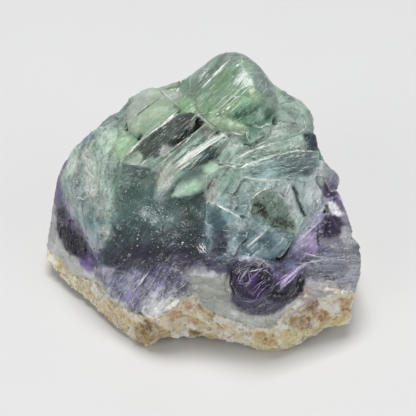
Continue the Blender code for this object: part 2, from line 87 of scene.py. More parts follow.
# ---------------------------------------------------------------- the crystals, as the solid has them
FRONT_BLOCKS = {
    "dark_face": [(99, 263, -21), (128, 268, -25.5), (155, 268, -28), (176, 259, -29), (206, 261, -30), (209, 205, -22.5),
                  (206, 170, -17), (176, 166, -16.5), (150, 167, -15.5), (121, 164, -12), (111, 195, -15.5), (99, 236, -19)],
    "left_flank": [(70, 152, 5), (84, 137, 8), (102, 127, 6), (125, 131, -2), (131, 150, -7), (121, 165, -11.5),
                   (111, 197, -15.5), (99, 236, -19), (99, 262, -20.5), (88, 240, -14), (70, 200, -4), (62, 176, 2)],
    "left_rim": [(75, 146, 9), (62, 165, 8), (56, 183, 6), (52, 202, 5), (50, 222, 3), (53, 240, 0), (72, 264, -8),
                 (99, 268, -19.5), (99, 240, -17.5), (70, 200, -3), (64, 176, 3)],
    "left_apron": [(46, 247, 2), (49, 228, 3.5), (54, 240, 0.5), (72, 262, -8), (88, 270, -14.5), (99, 269, -20), (95, 281, -18),
                   (76, 272, -10), (58, 262, -4.5)],
    "left_block": [(126, 108, 3), (134, 98, 6), (143, 91, 8.5), (151, 88, 9), (159, 89, 9), (165, 92, 8), (175, 103, 1),
                   (174, 107, -1.5), (152, 126, -6), (136, 134, -6.5), (128, 130, -3), (126, 118, 0)],
    "green_window": [(128, 130, -2), (136, 134, -6), (134, 146, -9), (123, 160, -10.5), (117, 150, -7), (119, 136, -2)],
    "back_left_ridge": [(84, 136, 10), (101, 126, 12), (111, 116.5, 13), (127, 107.5, 11), (126, 118, 1), (119, 136, -1), (102, 129, 6)],
    "side_slab": [(135, 145, -8.5), (152, 126, -6), (174, 107, -1.5), (178, 111, -4), (152, 134, -9.5), (122, 161, -11.5)],
    "cube": [(177, 89, 5), (187, 78, 8), (193.5, 76.5, 8), (199, 90, 0), (200, 105, -5), (194, 111, -7.5),
             (185, 112, -7), (175, 103, -1.5)],
    "ridge_infill": [(158, 89, 9), (170, 87, 10), (180, 85.5, 10), (178, 100, 0), (172, 104, 2), (164, 95, 8)],
    "crown": [(188, 79, 6), (194, 76.7, 7.5), (203, 67.5, 9), (211, 60, 9.5), (219, 54, 9.5), (230, 52.5, 9), (241, 53.8, 7.5),
              (251, 58.5, 5.5), (259, 66.8, 3.5), (270.6, 80, -0.5), (276, 89, -2.5), (278, 97, -3.5), (273.5, 107, -6),
              (262, 116, -10), (249, 124, -13.5), (232, 125, -14), (213, 119, -12), (198, 108, -6.5), (191, 95, -1),
              (237, 55, 4), (247, 72, -2.5), (256, 84, -6.5), (257, 97, -9.5)],
    "crown_skirt": [(197, 108, -6.5), (196, 113, -8), (208, 123, -11), (220, 131, -13), (234, 133.5, -14.5), (244, 135.5, -15),
                    (250, 126, -13.5), (232, 122, -12.5), (213, 115, -9)],
    "dark_wedge": [(246, 124, -13.5), (249.5, 144, -16.5), (257, 143, -16), (273, 127, -10), (272, 112, -7), (259, 115, -9.5)],
    "glint_slab_1": [(120.5, 162.5, -12.5), (152, 134.5, -10), (177.5, 113.5, -6), (190, 112, -6.5), (196, 113.5, -7.5),
                     (195, 119, -9), (184, 144, -15), (166, 160, -16.5), (150, 168, -16.5)],
    "glint_slab_2": [(152, 170, -17), (166, 160.5, -16.5), (185, 144, -15), (206.5, 123.5, -10.5), (217, 131, -13.5),
                     (209, 138, -15.5), (179, 160, -19), (164, 172, -19)],
    "glint_slab_3": [(162, 173, -19), (178, 160, -19), (209, 138, -15.5), (222, 134, -14), (228, 138, -15.5), (217, 148, -18.5),
                     (200, 163, -21), (181, 175, -22), (168, 190, -22), (158, 196, -20.5), (157, 182, -19)],
    "mint_window": [(171, 196, -22.5), (183, 176, -21.5), (202, 163, -19.5), (217, 160, -18), (218, 172, -20), (204, 190, -23), (186, 197, -23.5)],
    "shoulder": [(276, 99, 5), (280, 97, 6.5), (288, 96.5, 7.5), (301, 99, 7), (308, 106, 5), (313, 117, 2), (314, 129, -1),
                 (310, 132, -4), (291, 129, -7), (276, 122, -7)],
    "under_shoulder": [(273, 126, -9), (290, 129, -6.5), (303, 134, -5.5), (308, 146, -8), (297, 152, -10.5), (262, 160, -16),
                       (240, 167, -18), (229, 160, -18), (236, 155, -17), (249, 145, -15.5), (257, 143, -15)],
    "blade_upper": [(239, 157, -18.2), (258, 149, -16.4), (277, 144.5, -13.6), (280, 153.5, -14.6), (262, 160.5, -17), (241, 168, -19)],
    "dark_patch": [(303, 134, -5), (310, 130, -2), (315, 135.5, -2), (319.5, 150, -5), (311, 152, -8), (306, 146, -8)],
    "slab": [(241, 169, -20), (262, 160.5, -17.5), (281, 154, -14.5), (297, 151.5, -11.5), (320, 151, -6), (319, 166, -8),
             (315, 180, -11), (300, 181.5, -15.5), (280, 180, -19), (247, 178, -22)],
    "web": [(206, 164, -17.5), (222, 140, -15), (232, 134, -14), (249, 146, -15.5), (240, 157, -17.5), (241, 169, -19.5), (228, 166, -19.5)],
    "centre_pyramid": [(206, 166, -17.5), (227, 165, -19.5), (241, 170, -20.5), (247, 180, -22), (252, 198, -25), (248, 214, -26.5),
                       (244, 218, -27), (222, 208, -26), (207, 201, -23), (205, 184, -20)],
    "right_face": [(247, 181, -22), (262, 190, -23.5), (270, 187, -22), (285, 181, -19), (301, 183, -15.5), (315, 181, -11.5),
                   (321, 205, -14), (312, 222, -18.5), (298, 240, -25), (291, 241, -26.5), (266, 230, -28.5), (249, 224, -28),
                   (250, 209, -26.5), (251.5, 199, -25)],
    "rough_facet": [(252, 199, -26), (259, 192, -25.2), (270, 187.5, -23.5), (280, 195.5, -23.8), (288, 204, -24.2), (293, 215, -25.2),
                    (296, 226, -26), (294, 239, -27.8), (277, 233, -29), (264, 225, -29), (253, 214, -27.8)],
    "right_pane": [(297, 184, -16), (315, 181, -11), (322, 190, -11), (325, 204, -12.5), (316, 219, -17.5), (304, 226, -21), (303, 205, -18.5)],
    "lower_centre": [(207, 203, -24), (222, 208, -26.3), (244, 218, -28), (250, 225, -29), (266, 231, -29.5), (290, 242, -28.5),
                     (278, 257, -30.5), (258, 260, -32), (235, 260, -31.5), (207, 262, -30.5)],
    "teal_tooth": [(245, 246, -31.4), (266, 231, -30.2), (289, 243, -29.3), (276, 257, -31.3), (256, 260, -32.6)],
    "lilac_wedge": [(296, 240, -26), (312, 224, -20), (326, 206, -15), (330, 214, -17), (318, 230, -21.5), (317, 247, -25.5),
                    (303, 262, -29), (284, 262, -31)],
    "cavity_wall": [(326, 205, -13.5), (341, 199, -9), (344, 212, -11), (346, 224, -14), (353, 231, -16.5), (350, 244, -21),
                    (335, 246, -24), (320, 246, -25), (318, 232, -21)],
    "knob": [(318, 160, -2), (325, 161.5, -1), (328.5, 170, -2), (336, 173, -2), (339.5, 180, -4), (336, 190, -6.5), (330, 198, -9),
             (320, 196, -9.5), (315, 181, -8)],
    "knob_tail": [(320, 194, -9), (331, 190, -6), (338, 192, -5.5), (342, 202, -8), (344, 212, -11), (333, 212, -14), (325, 206, -13)],
    "right_shelf": [(303, 262, -28.5), (318, 247, -25.5), (338, 246, -24), (352, 236, -18), (359, 243, -19), (361.5, 257, -20.5),
                    (360.5, 276, -24), (356, 292, -27), (340, 291, -30), (306, 293, -33.5), (300, 277, -31.5)],
    "purple_boss": [(226, 286, -35.5), (230, 266, -33.5), (241, 259, -32.5), (259, 259, -32.8), (272, 270, -34), (290, 270, -32.5),
                    (304, 268, -30.5), (305, 277, -31.8), (300, 289, -34), (288, 301, -36), (273, 312.5, -38), (247, 311.5, -38),
                    (233, 306, -37.3), (252, 283, -37.5), (270, 290, -37.8)],
    "lilac_apron": [(99, 264, -20.8), (128, 269, -26), (156, 269, -28.5), (176, 262, -29.5), (206, 262, -30.5), (212, 274, -33),
                    (192, 292, -34), (170, 311, -36), (150, 316, -35), (126, 310, -30), (114, 301, -27), (95, 280, -19)],
    "quartz_saddle": [(186, 274, -32), (206, 266, -31.5), (226, 270, -34), (231, 300, -37), (228, 318, -37), (208, 308, -35), (186, 294, -34)],
    "quartz_lip": [(229, 303, -36.6), (247, 312, -37.6), (273, 313.5, -37.6), (289, 301, -35.6), (305, 290, -33.6), (330, 290, -31.4),
                   (304, 299, -34.2), (280, 322, -37.4), (262, 328, -37.6), (240, 324, -36.8), (227, 318, -36.6)],
}
BACK_BLOCKS = {
    "crown_back": [(-4, 10.5, 60.0), (3, 11, 65.0), (10, 11, 66.0), (17, 9.5, 61.5), (22.5, 9.5, 52), (22, 17, 44.5), (11, 21, 50.5),
                   (3, 20.5, 52), (-5, 18, 50), (-9, 13.5, 54)],
    "ridge_back": [(-33, 10, 38.0), (-27, 9, 43.0), (-19, 10.5, 49.0), (-10.5, 14, 51.5), (-6, 19, 48), (-13, 23, 40.5),
                   (-24, 22, 35), (-33, 15, 33)],
    "shoulder_back": [(22, 11, 50), (27, 8, 48.5), (32, 6, 42.5), (35, 8, 33.5), (33, 16, 30.5), (24.5, 21.5, 35), (17, 19.5, 43)],
    "back_centre": [(-12.5, 23, 41.5), (-5, 20, 48), (3, 21.5, 50), (11, 22.5, 48), (17, 21, 42), (18.5, 28.5, 30), (8, 32.5, 28.5),
                    (-7, 32.5, 29), (-16, 28, 33)],
    "back_left_upper": [(-33, 15.5, 32.5), (-24, 23, 34.5), (-14, 24, 40), (-17, 29, 31), (-26, 29.5, 22), (-36, 20.5, 21.5), (-37.5, 13, 28)],
    "back_right_upper": [(35.5, 9, 32), (33, 17, 29.5), (25, 22.5, 34.5), (18.5, 22.5, 40), (19.5, 28.5, 30), (27, 28, 20.5), (35.5, 18, 19.5), (38, 10, 23)],
    "back_left_foot": [(-36, 20, 21.5), (-26, 29, 21.5), (-18, 30.5, 27.5), (-13, 35.5, 16), (-16, 35.5, 9.5), (-27, 31, 9), (-37.5, 21, 9.5)],
    "back_centre_foot": [(-17, 30, 29), (-7.5, 33.5, 28.5), (6, 34.0, 27.5), (12, 35, 20), (13, 37, 10), (-2, 38.5, 9.5), (-14, 36.5, 10)],
    "back_right_foot": [(8, 33.5, 27.5), (18, 29.5, 29), (27, 28.5, 20), (26, 32, 10), (14, 37, 10)],
    "right_back_foot": [(27, 28, 20.5), (35.5, 19, 19.0), (40.0, 13, 11), (36, 22, 10), (27, 31, 10)],
    "right_heel": [(35.5, 18, 19.0), (38.3, 9.5, 23), (41, 2, 19), (43, -2, 14.0), (43.5, 4, 10), (41.0, 12, 10)],
    "right_wall_upper": [(33, 4.5, 41), (36.5, -2, 34), (38.5, -6, 27), (41, 1, 20), (38.5, 9, 24), (35.5, 9, 32)],
    "right_wall_lower": [(38.5, -7, 26), (42, -14, 20.5), (44, -18, 17), (44.3, -10, 12.5), (43.5, -2.5, 13.5), (41, 1, 19.5)],
    "left_wall_upper": [(-35, 9.5, 36.5), (-38.5, 6.5, 31), (-41.5, 5, 24), (-40.5, 12, 21.5), (-37, 15, 25), (-33.5, 14, 33.5)],
    "left_wall_lower": [(-42, 4.5, 23.5), (-44.5, 3, 16), (-45.5, 3, 9.5), (-43.5, 11, 9.5), (-39, 18, 10), (-37, 18.5, 20.5), (-40.5, 11, 21.5)],
    "back_step_1": [(-22, 25.5, 31), (-14, 26.5, 35), (-9, 30.5, 31), (-12, 34.5, 23), (-21, 32.5, 22)],
    "back_step_2": [(2, 24.5, 45.5), (9, 25, 45), (14, 28, 37), (8, 33.0, 33), (1, 32.5, 35)],
    "back_step_3": [(24, 26.5, 29), (30, 24.5, 28), (34, 21.5, 20), (30, 26.5, 15), (24, 30.5, 18)],
    "back_step_4": [(-4, 34.5, 24), (4, 36, 22), (6, 37.8, 14), (-3, 38.6, 13), (-8, 36.8, 18)],
    "back_step_5": [(25, 13.5, 43), (30, 10.5, 42.5), (33, 11.5, 34), (29, 18, 34), (24, 19.5, 38)],
    "back_step_6": [(-30, 14.5, 37.5), (-23, 16, 41), (-18, 20, 39.5), (-22, 24, 34), (-29, 21, 32)],
    "back_step_7": [(-35, 20.5, 18), (-30, 26, 19), (-25, 30, 13), (-31, 28.5, 9.5), (-38, 20.5, 11)],
    "back_step_8": [(5, 16.5, 58.5), (12, 16.5, 57), (16, 17.5, 51), (11, 21.5, 49), (4, 21, 51)],
}
RIM_FRONT = [
    ((44, 256, 6.0), (46, 246, 2.0)), ((54, 269, 4.5), (58, 261, -4.0)), ((65, 280, 3.5), (76, 271, -9.5)),
    ((80, 294, 2.5), (94, 281, -17.0)), ((95, 309, 1.5), (104, 290, -21.5)), ((110, 323, 1.0), (115, 303, -26.5)),
    ((123, 333, 0.5), (125, 312, -30.0)), ((136, 344, 0.0), (138, 318, -33.5)), ((148, 350, 0.0), (152, 318, -35.3)),
    ((158, 344, 1.0), (168, 311, -35.8)), ((170, 339, 2.0), (180, 299, -34.2)), ((190, 337.5, 2.5), (192, 296, -34.2)),
    ((202, 337, 2.8), (203, 305, -34.8)), ((214, 339.5, 2.5), (214, 315, -35.8)), ((229, 344.5, 1.5), (230, 321, -36.8)),
    ((247, 349, 0.8), (246, 326, -37.4)), ((266, 353, 0.0), (264, 329, -38.0)), ((280, 353.5, 0.0), (278, 322, -37.8)),
    ((297, 347, 1.0), (292, 306, -36.0)), ((310, 339, 2.0), (304, 295, -33.8)), ((323, 329.5, 3.2), (325, 291, -31.8)),
    ((338, 326.5, 4.0), (340, 292, -30.3)), ((348.5, 324, 4.5), (354, 294, -27.5)),
]
RIM_BACK = [
    ((42.5, -19, 5.0), (43.5, -18, 15)), ((43.5, -9, 4.5), (44.0, -8, 12.5)), ((43.0, 3, 4.0), (43.5, 3, 11.5)),
    ((39.5, 13, 3.5), (40.0, 13, 11)), ((33.0, 22, 3.0), (34.0, 22, 11)), ((24.0, 30, 2.5), (25.0, 30, 11)),
    ((12.0, 35, 2.5), (13.0, 35.5, 10)), ((-2.0, 36.5, 2.0), (-2.0, 37.0, 10)), ((-14.0, 34, 2.5), (-14.5, 35.0, 11)),
    ((-26.0, 29, 3.0), (-26.0, 30.0, 11)), ((-35.0, 21, 3.5), (-36.0, 21.0, 11)), ((-42.0, 12, 4.5), (-43.0, 12.0, 11)),
]
HEART = np.array((2.0, 7.0, 22.0)) + SHIFT
ROOT = 0.5
OVERLAP = 0.35


# ---------------------------------------------------------------- small maths helpers
def unit(v):
    v = np.asarray(v, float)
    return v / np.maximum(np.linalg.norm(v, axis=-1, keepdims=True), 1e-12)


def smooth(x, low, high):
    t = np.clip((x - low) / (high - low), 0, 1)
    return t * t * (3 - 2 * t)


def lattice(ix, iy, iz, seed):
    h = (ix.astype(np.int64) * 374761393 + iy.astype(np.int64) * 668265263 + iz.astype(np.int64) * 1274126177
         + seed * 974711) & 0xFFFFFFFF
    h = ((h ^ (h >> 13)) * 1103515245) & 0xFFFFFFFF
    h = ((h ^ (h >> 15)) * 668265263) & 0xFFFFFFFF
    return ((h ^ (h >> 16)) & 0xFFFFFF) / float(0xFFFFFF)


def noise(p, seed=0):
    """Smooth value noise of points, -1 to 1."""
    cell = np.floor(p)
    f = p - cell
    f = f * f * f * (f * (f * 6 - 15) + 10)
    total = 0.0
    for dx in (0, 1):
        for dy in (0, 1):
            for dz in (0, 1):
                w = (f[:, 0] if dx else 1 - f[:, 0]) * (f[:, 1] if dy else 1 - f[:, 1]) * (f[:, 2] if dz else 1 - f[:, 2])
                total = total + w * lattice(cell[:, 0] + dx, cell[:, 1] + dy, cell[:, 2] + dz, seed)
    return total * 2 - 1


def cloud(p, scale, octaves=4, seed=0, gain=0.5):
    """Fractal noise, about -1 to 1; scale is cells per millimetre."""
    total, size, weight = 0.0, 1.0, 0.0
    q = p * scale
    for i in range(octaves):
        total = total + noise(q + 17.3 * i, seed + i) * size
        weight += size
        size *= gain
        q = q * 2.03
    return total / weight * 1.4


def facets(q, seed):
    """Cells of broken rock: three random numbers per cell, the way from its middle, and how far its border is."""
    base = np.floor(q)
    best = np.full(len(q), 1e9)
    second = np.full(len(q), 1e9)
    middle = np.zeros_like(q)
    ids = np.zeros_like(q)
    for dx in (-1, 0, 1):
        for dy in (-1, 0, 1):
            for dz in (-1, 0, 1):
                cell = base + (dx, dy, dz)
                at = cell + np.stack([lattice(*cell.T, seed + i) for i in range(3)], axis=1) * 0.9 + 0.05
                d = ((q - at) ** 2).sum(axis=1)
                closer = d < best
                second = np.where(closer, best, np.minimum(second, d))
                best = np.where(closer, d, best)
                middle[closer] = at[closer]
                ids[closer] = cell[closer]
    numbers = np.stack([lattice(*ids.T, seed + 7 + i) for i in range(3)], axis=1)
    return numbers, q - middle, np.sqrt(second) - np.sqrt(best)


def linear(colour):
    c = np.asarray(colour, float) / 255.0
    return np.where(c <= 0.04045, c / 12.92, ((c + 0.055) / 1.055) ** 2.4)


# ---------------------------------------------------------------- blocks as planes
def hull_planes(points):
    """Planes (normal, distance) of the convex hull of points."""
    shape = bmesh.new()
    for p in points:
        shape.verts.new(p)
    bmesh.ops.convex_hull(shape, input=shape.verts)
    middle = points.mean(axis=0)
    planes = []
    for face in shape.faces:
        n = np.array(face.normal)
        if np.linalg.norm(n) < 0.5:
            continue
        c = np.array(face.calc_center_median())
        if (c - middle) @ n < 0:
            n = -n
        planes.append((*n, n @ c))
    shape.free()
    planes = np.array(planes)
    _, keep = np.unique(np.round(planes, 2), axis=0, return_index=True)
    return planes[keep]


def rooted(corners):
    corners = np.array(corners)
    middle = corners.mean(axis=0)
    grown = corners + unit(corners - middle) * OVERLAP
    return np.vstack([grown, grown + (HEART - grown) * ROOT])


def stone_blocks():
    made = {}
    for name, corners in FRONT_BLOCKS.items():
        made[name] = rooted([at_y(*c) for c in corners])
    for name, corners in BACK_BLOCKS.items():
        made[name] = rooted([np.array(c) + SHIFT for c in corners])
    low = [at_z(*a) for a, _ in RIM_FRONT] + [np.array(a) + SHIFT for a, _ in RIM_BACK]
    high = [at_y(*b) for _, b in RIM_FRONT] + [np.array(b) + SHIFT for _, b in RIM_BACK]
    for i in range(len(low)):
        j = (i + 1) % len(low)
        face = [low[i], low[j], high[i], high[j]]
        inner = [np.array(((p[0] - SHIFT[0]) * 0.6, (p[1] - SHIFT[1]) * 0.6, min(p[2], 12.0))) + SHIFT * (1, 1, 0) for p in face]
        made[f"crust_{i:02d}"] = np.array(face + inner)
    return made


BLOCKS = stone_blocks()
PLANES = {name: hull_planes(points) for name, points in BLOCKS.items()}


# ---------------------------------------------------------------- the fine surface
def mesh_arrays(mesh):
    co = np.empty(len(mesh.vertices) * 3, np.float32)
    mesh.vertices.foreach_get("co", co)
    no = np.empty(len(mesh.vertices) * 3, np.float32)
    mesh.vertices.foreach_get("normal", no)
    return co.reshape(-1, 3).astype(float) * 1000, no.reshape(-1, 3).astype(float)


def set_points(mesh, co):
    mesh.vertices.foreach_set("co", (co * MM).astype(np.float32).ravel())
    mesh.update()


def remeshed(name, source, voxel):
    """One even skin around everything in source."""
    obj = bpy.data.objects.new(name, source)
    bpy.context.scene.collection.objects.link(obj)
    mod = obj.modifiers.new("skin", "REMESH")
    mod.mode = "VOXEL"
    mod.voxel_size = voxel * MM
    mod.adaptivity = 0.0
    mod.use_smooth_shade = False
    bpy.context.view_layer.update()
    graph = bpy.context.evaluated_depsgraph_get()
    mesh = bpy.data.meshes.new_from_object(obj.evaluated_get(graph))
    obj.modifiers.clear()
    obj.data = mesh
    mesh.name = name
    return obj


class Skin:
    """Neighbour sums on a mesh."""

    def __init__(self, mesh):
        edges = np.empty(len(mesh.edges) * 2, np.int32)
        mesh.edges.foreach_get("vertices", edges)
        self.a, self.b = edges.reshape(-1, 2).T
        self.size = len(mesh.vertices)
        self.count = np.bincount(self.a, minlength=self.size) + np.bincount(self.b, minlength=self.size) + 1.0

    def mean(self, values):
        if values.ndim == 1:
            return (values + np.bincount(self.a, values[self.b], self.size) + np.bincount(self.b, values[self.a], self.size)) / self.count
        return np.stack([self.mean(values[:, c]) for c in range(values.shape[1])], axis=1)

    def spread(self, values, times):
        for _ in range(times):
            values = self.mean(values)
        return values


source = STONE.data.copy()
source.materials.clear()
body = remeshed("fluorite_body", source, VOXEL_MM)
mesh = body.data
co, no = mesh_arrays(mesh)
count = len(co)
skin = Skin(mesh)
print("body points", count, "faces", len(mesh.polygons))

# which block each point belongs to, with straight borders for the shape and wandering ones for the colour
names = list(BLOCKS)
wob = np.stack([cloud(co, 0.16, 4, 201 + i, 0.6) for i in range(3)], axis=1)


def distances(points):
    reach = np.full((len(points), len(names)), 30.0, np.float32)
    for k, name in enumerate(names):
        low = BLOCKS[name].min(axis=0) - 3.0
        high = BLOCKS[name].max(axis=0) + 3.0
        near = np.nonzero(((points > low) & (points < high)).all(axis=1))[0]
        planes = PLANES[name]
        reach[near, k] = np.abs((points[near] @ planes[:, :3].T - planes[:, 3]).max(axis=1))
    return reach


# how soft the colour border of a block is, in millimetres
SOFT = {"dark_face": 1.0, "left_flank": 1.6, "lower_centre": 0.8, "right_face": 0.6, "centre_pyramid": 0.5, "web": 0.7, "lilac_apron": 0.5,
        "left_rim": 0.7, "left_apron": 0.35, "right_shelf": 0.6, "quartz_saddle": 0.45, "quartz_lip": 0.5, "shoulder": 0.7,
        "under_shoulder": 0.8, "teal_tooth": 0.7, "mint_window": 0.5, "right_pane": 0.6, "purple_boss": 0.35, "knob_tail": 0.6,
        "cavity_wall": 0.5, "crown": 0.35, "green_window": 0.5, "lilac_wedge": 0.5}
reach = distances(co)
owner = reach.argmin(axis=1)
gap = reach.min(axis=1)
owner[gap > 0.9] = -1
reach_soft = distances(co + wob * 1.2)
gap_soft = reach_soft.min(axis=1)
softness = np.array([SOFT.get(name, 0.2) for name in names])
share = np.exp(-(reach_soft - gap_soft[:, None]) / softness)
share[(gap_soft > 2.2) | (gap > 2.0)] = 0
del reach, reach_soft

# what the reference view sees
tree = BVHTree.FromPolygons(co.tolist(), [tuple(f.vertices) for f in mesh.polygons])
U, V, DEPTH = project(co)
eye = Vector(EYE)
seen = np.zeros(count)
facing = -((co - EYE) * no).sum(axis=1) / np.linalg.norm(co - EYE, axis=1)
for i in np.nonzero(facing > -0.3)[0]:
    way = Vector(co[i]) - eye
    hit, _, _, dist = tree.ray_cast(eye, way.normalized(), 800)
    if hit is not None and dist > way.length - 1.2:
        seen[i] = 1.0
seen = smooth(skin.spread(seen, 4), 0.2, 0.8)

# ---------------------------------------------------------------- how each block looks
# colour high and low on the block (0-255), veil, speck, streak, streak angle in the view, clearness
LOOKS = {
    "dark_face": ((84, 112, 104), (60, 66, 80), 0.25, 0.7, 0.25, 45, 0.15),
    "left_flank": ((150, 176, 156), (126, 154, 150), 0.9, 0.6, 0.12, 82, 0.2),
    "left_rim": ((100, 106, 120), (60, 50, 84), 0.5, 0.3, 0.1, 80, 0.15),
    "left_apron": ((146, 142, 152), (190, 186, 178), 0.3, 0.1, 0.0, 0, 0.1),
    "left_block": ((184, 214, 176), (164, 202, 156), 0.15, 0.05, 0.2, 44, 0.5),
    "green_window": ((135, 175, 125), (150, 200, 145), 0.3, 0.1, 0.1, 45, 0.5),
    "back_left_ridge": ((103, 125, 124), (95, 125, 104), 0.5, 0.1, 0.1, 40, 0.4),
    "side_slab": ((66, 94, 74), (60, 90, 68), 0.2, 0.1, 0.4, 42, 0.4),
    "cube": ((132, 176, 142), (142, 196, 138), 0.2, 0.05, 0.1, 60, 0.5),
    "ridge_infill": ((160, 185, 155), (130, 165, 130), 0.3, 0.1, 0.1, 30, 0.5),
    "crown": ((150, 188, 160), (136, 188, 132), 0.4, 0.1, 0.7, 44, 0.6),
    "crown_skirt": ((184, 230, 174), (178, 218, 172), 0.4, 0.1, 0.3, -15, 0.45),
    "dark_wedge": ((96, 138, 108), (104, 144, 114), 0.25, 0.1, 0.2, 55, 0.45),
    "glint_slab_1": ((58, 68, 62), (112, 132, 112), 0.25, 0.5, 0.9, 42, 0.3),
    "glint_slab_2": ((104, 130, 118), (120, 150, 134), 0.3, 0.4, 0.95, 41, 0.3),
    "glint_slab_3": ((104, 132, 116), (124, 148, 130), 0.4, 0.3, 1.0, 42, 0.3),
    "mint_window": ((180, 222, 190), (112, 146, 132), 0.3, 0.2, 0.15, 25, 0.5),
    "shoulder": ((168, 206, 182), (170, 202, 182), 0.5, 0.2, 0.25, 5, 0.5),
    "under_shoulder": ((152, 182, 160), (146, 176, 158), 0.7, 0.2, 0.8, 22, 0.35),
    "blade_upper": ((143, 177, 152), (132, 165, 142), 0.4, 0.2, 0.8, 15, 0.4),
    "dark_patch": ((64, 87, 93), (52, 71, 82), 0.3, 0.3, 0.2, 60, 0.3),
    "slab": ((122, 150, 142), (104, 128, 128), 0.45, 0.4, 0.9, 11, 0.3),
    "web": ((196, 242, 210), (194, 240, 208), 0.7, 0.3, 0.5, 50, 0.35),
    "centre_pyramid": ((122, 154, 139), (113, 142, 137), 0.7, 0.5, 0.4, 60, 0.3),
    "right_face": ((146, 174, 168), (138, 166, 164), 0.7, 0.4, 0.3, 65, 0.3),
    "rough_facet": ((98, 114, 102), (66, 76, 72), 0.2, 1.0, 0.1, 40, 0.15),
    "right_pane": ((184, 204, 204), (178, 200, 198), 0.25, 0.1, 0.1, 75, 0.45),
    "lower_centre": ((112, 144, 150), (106, 124, 140), 0.6, 0.6, 0.2, 45, 0.25),
    "teal_tooth": ((136, 172, 178), (128, 162, 174), 0.4, 0.3, 0.2, 40, 0.35),
    "lilac_wedge": ((113, 104, 139), (94, 84, 125), 0.4, 0.2, 0.8, 40, 0.3),
    "cavity_wall": ((76, 62, 94), (116, 114, 126), 0.4, 0.2, 0.2, 5, 0.25),
    "knob": ((146, 156, 158), (122, 118, 136), 0.5, 0.2, 0.1, 60, 0.3),
    "knob_tail": ((118, 100, 142), (180, 172, 185), 0.5, 0.2, 0.1, 60, 0.25),
    "right_shelf": ((98, 102, 117), (109, 109, 124), 0.5, 0.6, 0.9, -2, 0.2),
    "purple_boss": ((64, 54, 88), (76, 68, 98), 0.3, 0.7, 0.5, 48, 0.25),
    "lilac_apron": ((96, 94, 126), (114, 112, 142), 0.6, 0.5, 0.9, 58, 0.2),
    "quartz_saddle": ((172, 172, 160), (176, 176, 164), 0.35, 0.2, 0.0, 0, 0.2),
    "quartz_lip": ((150, 150, 144), (160, 156, 148), 0.5, 0.2, 0.0, 0, 0.15),
}
# how far a block's corners are rounded, and how strong its laths, chips and crumbs are
ROUND = {"web": 0.2, "centre_pyramid": 0.2, "right_face": 0.25, "crown": 1.0, "left_block": 0.3, "cube": 0.1, "shoulder": 0.8, "left_flank": 0.55, "dark_face": 0.4, "purple_boss": 0.3,
         "right_shelf": 0.3, "quartz_saddle": 0.6, "quartz_lip": 0.6, "left_rim": 0.6, "left_apron": 0.8, "knob": 0.6, "crown_back": 1.0,
         "ridge_infill": 0.5, "green_window": 0.2, "mint_window": 0.2, "right_pane": 0.3, "dark_wedge": 0.4, "back_left_ridge": 0.4,
         "shoulder_back": 0.6, "lilac_apron": 0.3, "lower_centre": 0.3, "crown_skirt": 0.3}
FORMS = {"dark_face": (0.12, 0.22, 0.3), "crown": (0.25, 0.2, 0.12), "left_block": (0.15, 0.1, 0.08), "cube": (0.2, 0.3, 0.2),
         "shoulder": (0.3, 0.4, 0.3), "right_pane": (0.1, 0.3, 0.3), "left_flank": (0.1, 0.55, 0.5), "green_window": (0.1, 0.4, 0.4),
         "glint_slab_1": (0.5, 0.15, 0.4), "glint_slab_2": (0.6, 0.2, 0.3), "glint_slab_3": (0.7, 0.2, 0.4), "quartz_saddle": (0.0, 0.35, 0.4),
         "quartz_lip": (0.0, 0.35, 0.5), "mint_window": (0.1, 0.4, 0.3), "slab": (0.5, 0.3, 0.4), "blade_upper": (0.55, 0.35, 0.4),
         "under_shoulder": (0.5, 0.5, 0.5), "left_apron": (0.0, 0.1, 0.2), "left_rim": (0.1, 0.4, 0.4), "purple_boss": (0.0, 0.8, 0.1),
         "lilac_apron": (0.5, 0.4, 0.5), "right_shelf": (0.25, 0.3, 0.45), "web": (0.5, 0.8, 0.6), "centre_pyramid": (0.4, 0.7, 0.6),
         "right_face": (0.3, 0.7, 0.6), "rough_facet": (0.0, 0.5, 0.9), "lower_centre": (0.2, 0.9, 0.6), "teal_tooth": (0.2, 0.8, 0.5),
         "lilac_wedge": (0.5, 0.4, 0.4), "cavity_wall": (0.1, 0.5, 0.2), "knob": (0.1, 0.8, 0.5), "side_slab": (0.4, 0.3, 0.3)}
# the clear crystals behind the ones in view
CLEAR_BACK = {"crown_back": 0.75, "ridge_back": 0.6, "shoulder_back": 0.65, "back_step_8": 0.7, "back_step_5": 0.6, "back_step_2": 0.5,
              "back_step_6": 0.5, "back_centre": 0.4}
# light that the crystals carry inside, as a gain on their colour
GAIN = 2.3
# growth zones by height, for the mound and the unseen side: height, colour, veil
ZONES = [(0, (205, 188, 158), 0.3), (9, (210, 202, 188), 0.5), (12, (180, 178, 176), 0.6), (16, (112, 100, 138), 0.5), (22, (76, 64, 104), 0.4),
         (29, (84, 96, 112), 0.4), (38, (92, 122, 118), 0.5), (48, (120, 152, 130), 0.5), (60, (128, 162, 130), 0.4), (75, (135, 160, 138), 0.3)]


def zone_at(z):
    heights = [h for h, _, _ in ZONES]
    colour = np.stack([np.interp(z, heights, [linear(c)[i] for _, c, _ in ZONES]) for i in range(3)], axis=1)
    veil = np.interp(z, heights, [v for _, _, v in ZONES])
    return colour, veil


wander = cloud(co, 0.05, 3, 5) * 5 + cloud(co, 0.2, 2, 9) * 1.2
tint, veil = zone_at(co[:, 2] + wander)
zone_tint = tint.copy()
speck = np.full(count, 0.3)
streak = np.full(count, 0.25)
clear = np.full(count, 0.25)
forms = np.tile((0.3, 0.6, 0.5), (count, 1))
along = np.tile(unit(RIGHT * 0.7 + UP * 0.7), (count, 1))
across = np.tile(unit(RIGHT * 0.7 - UP * 0.7), (count, 1))

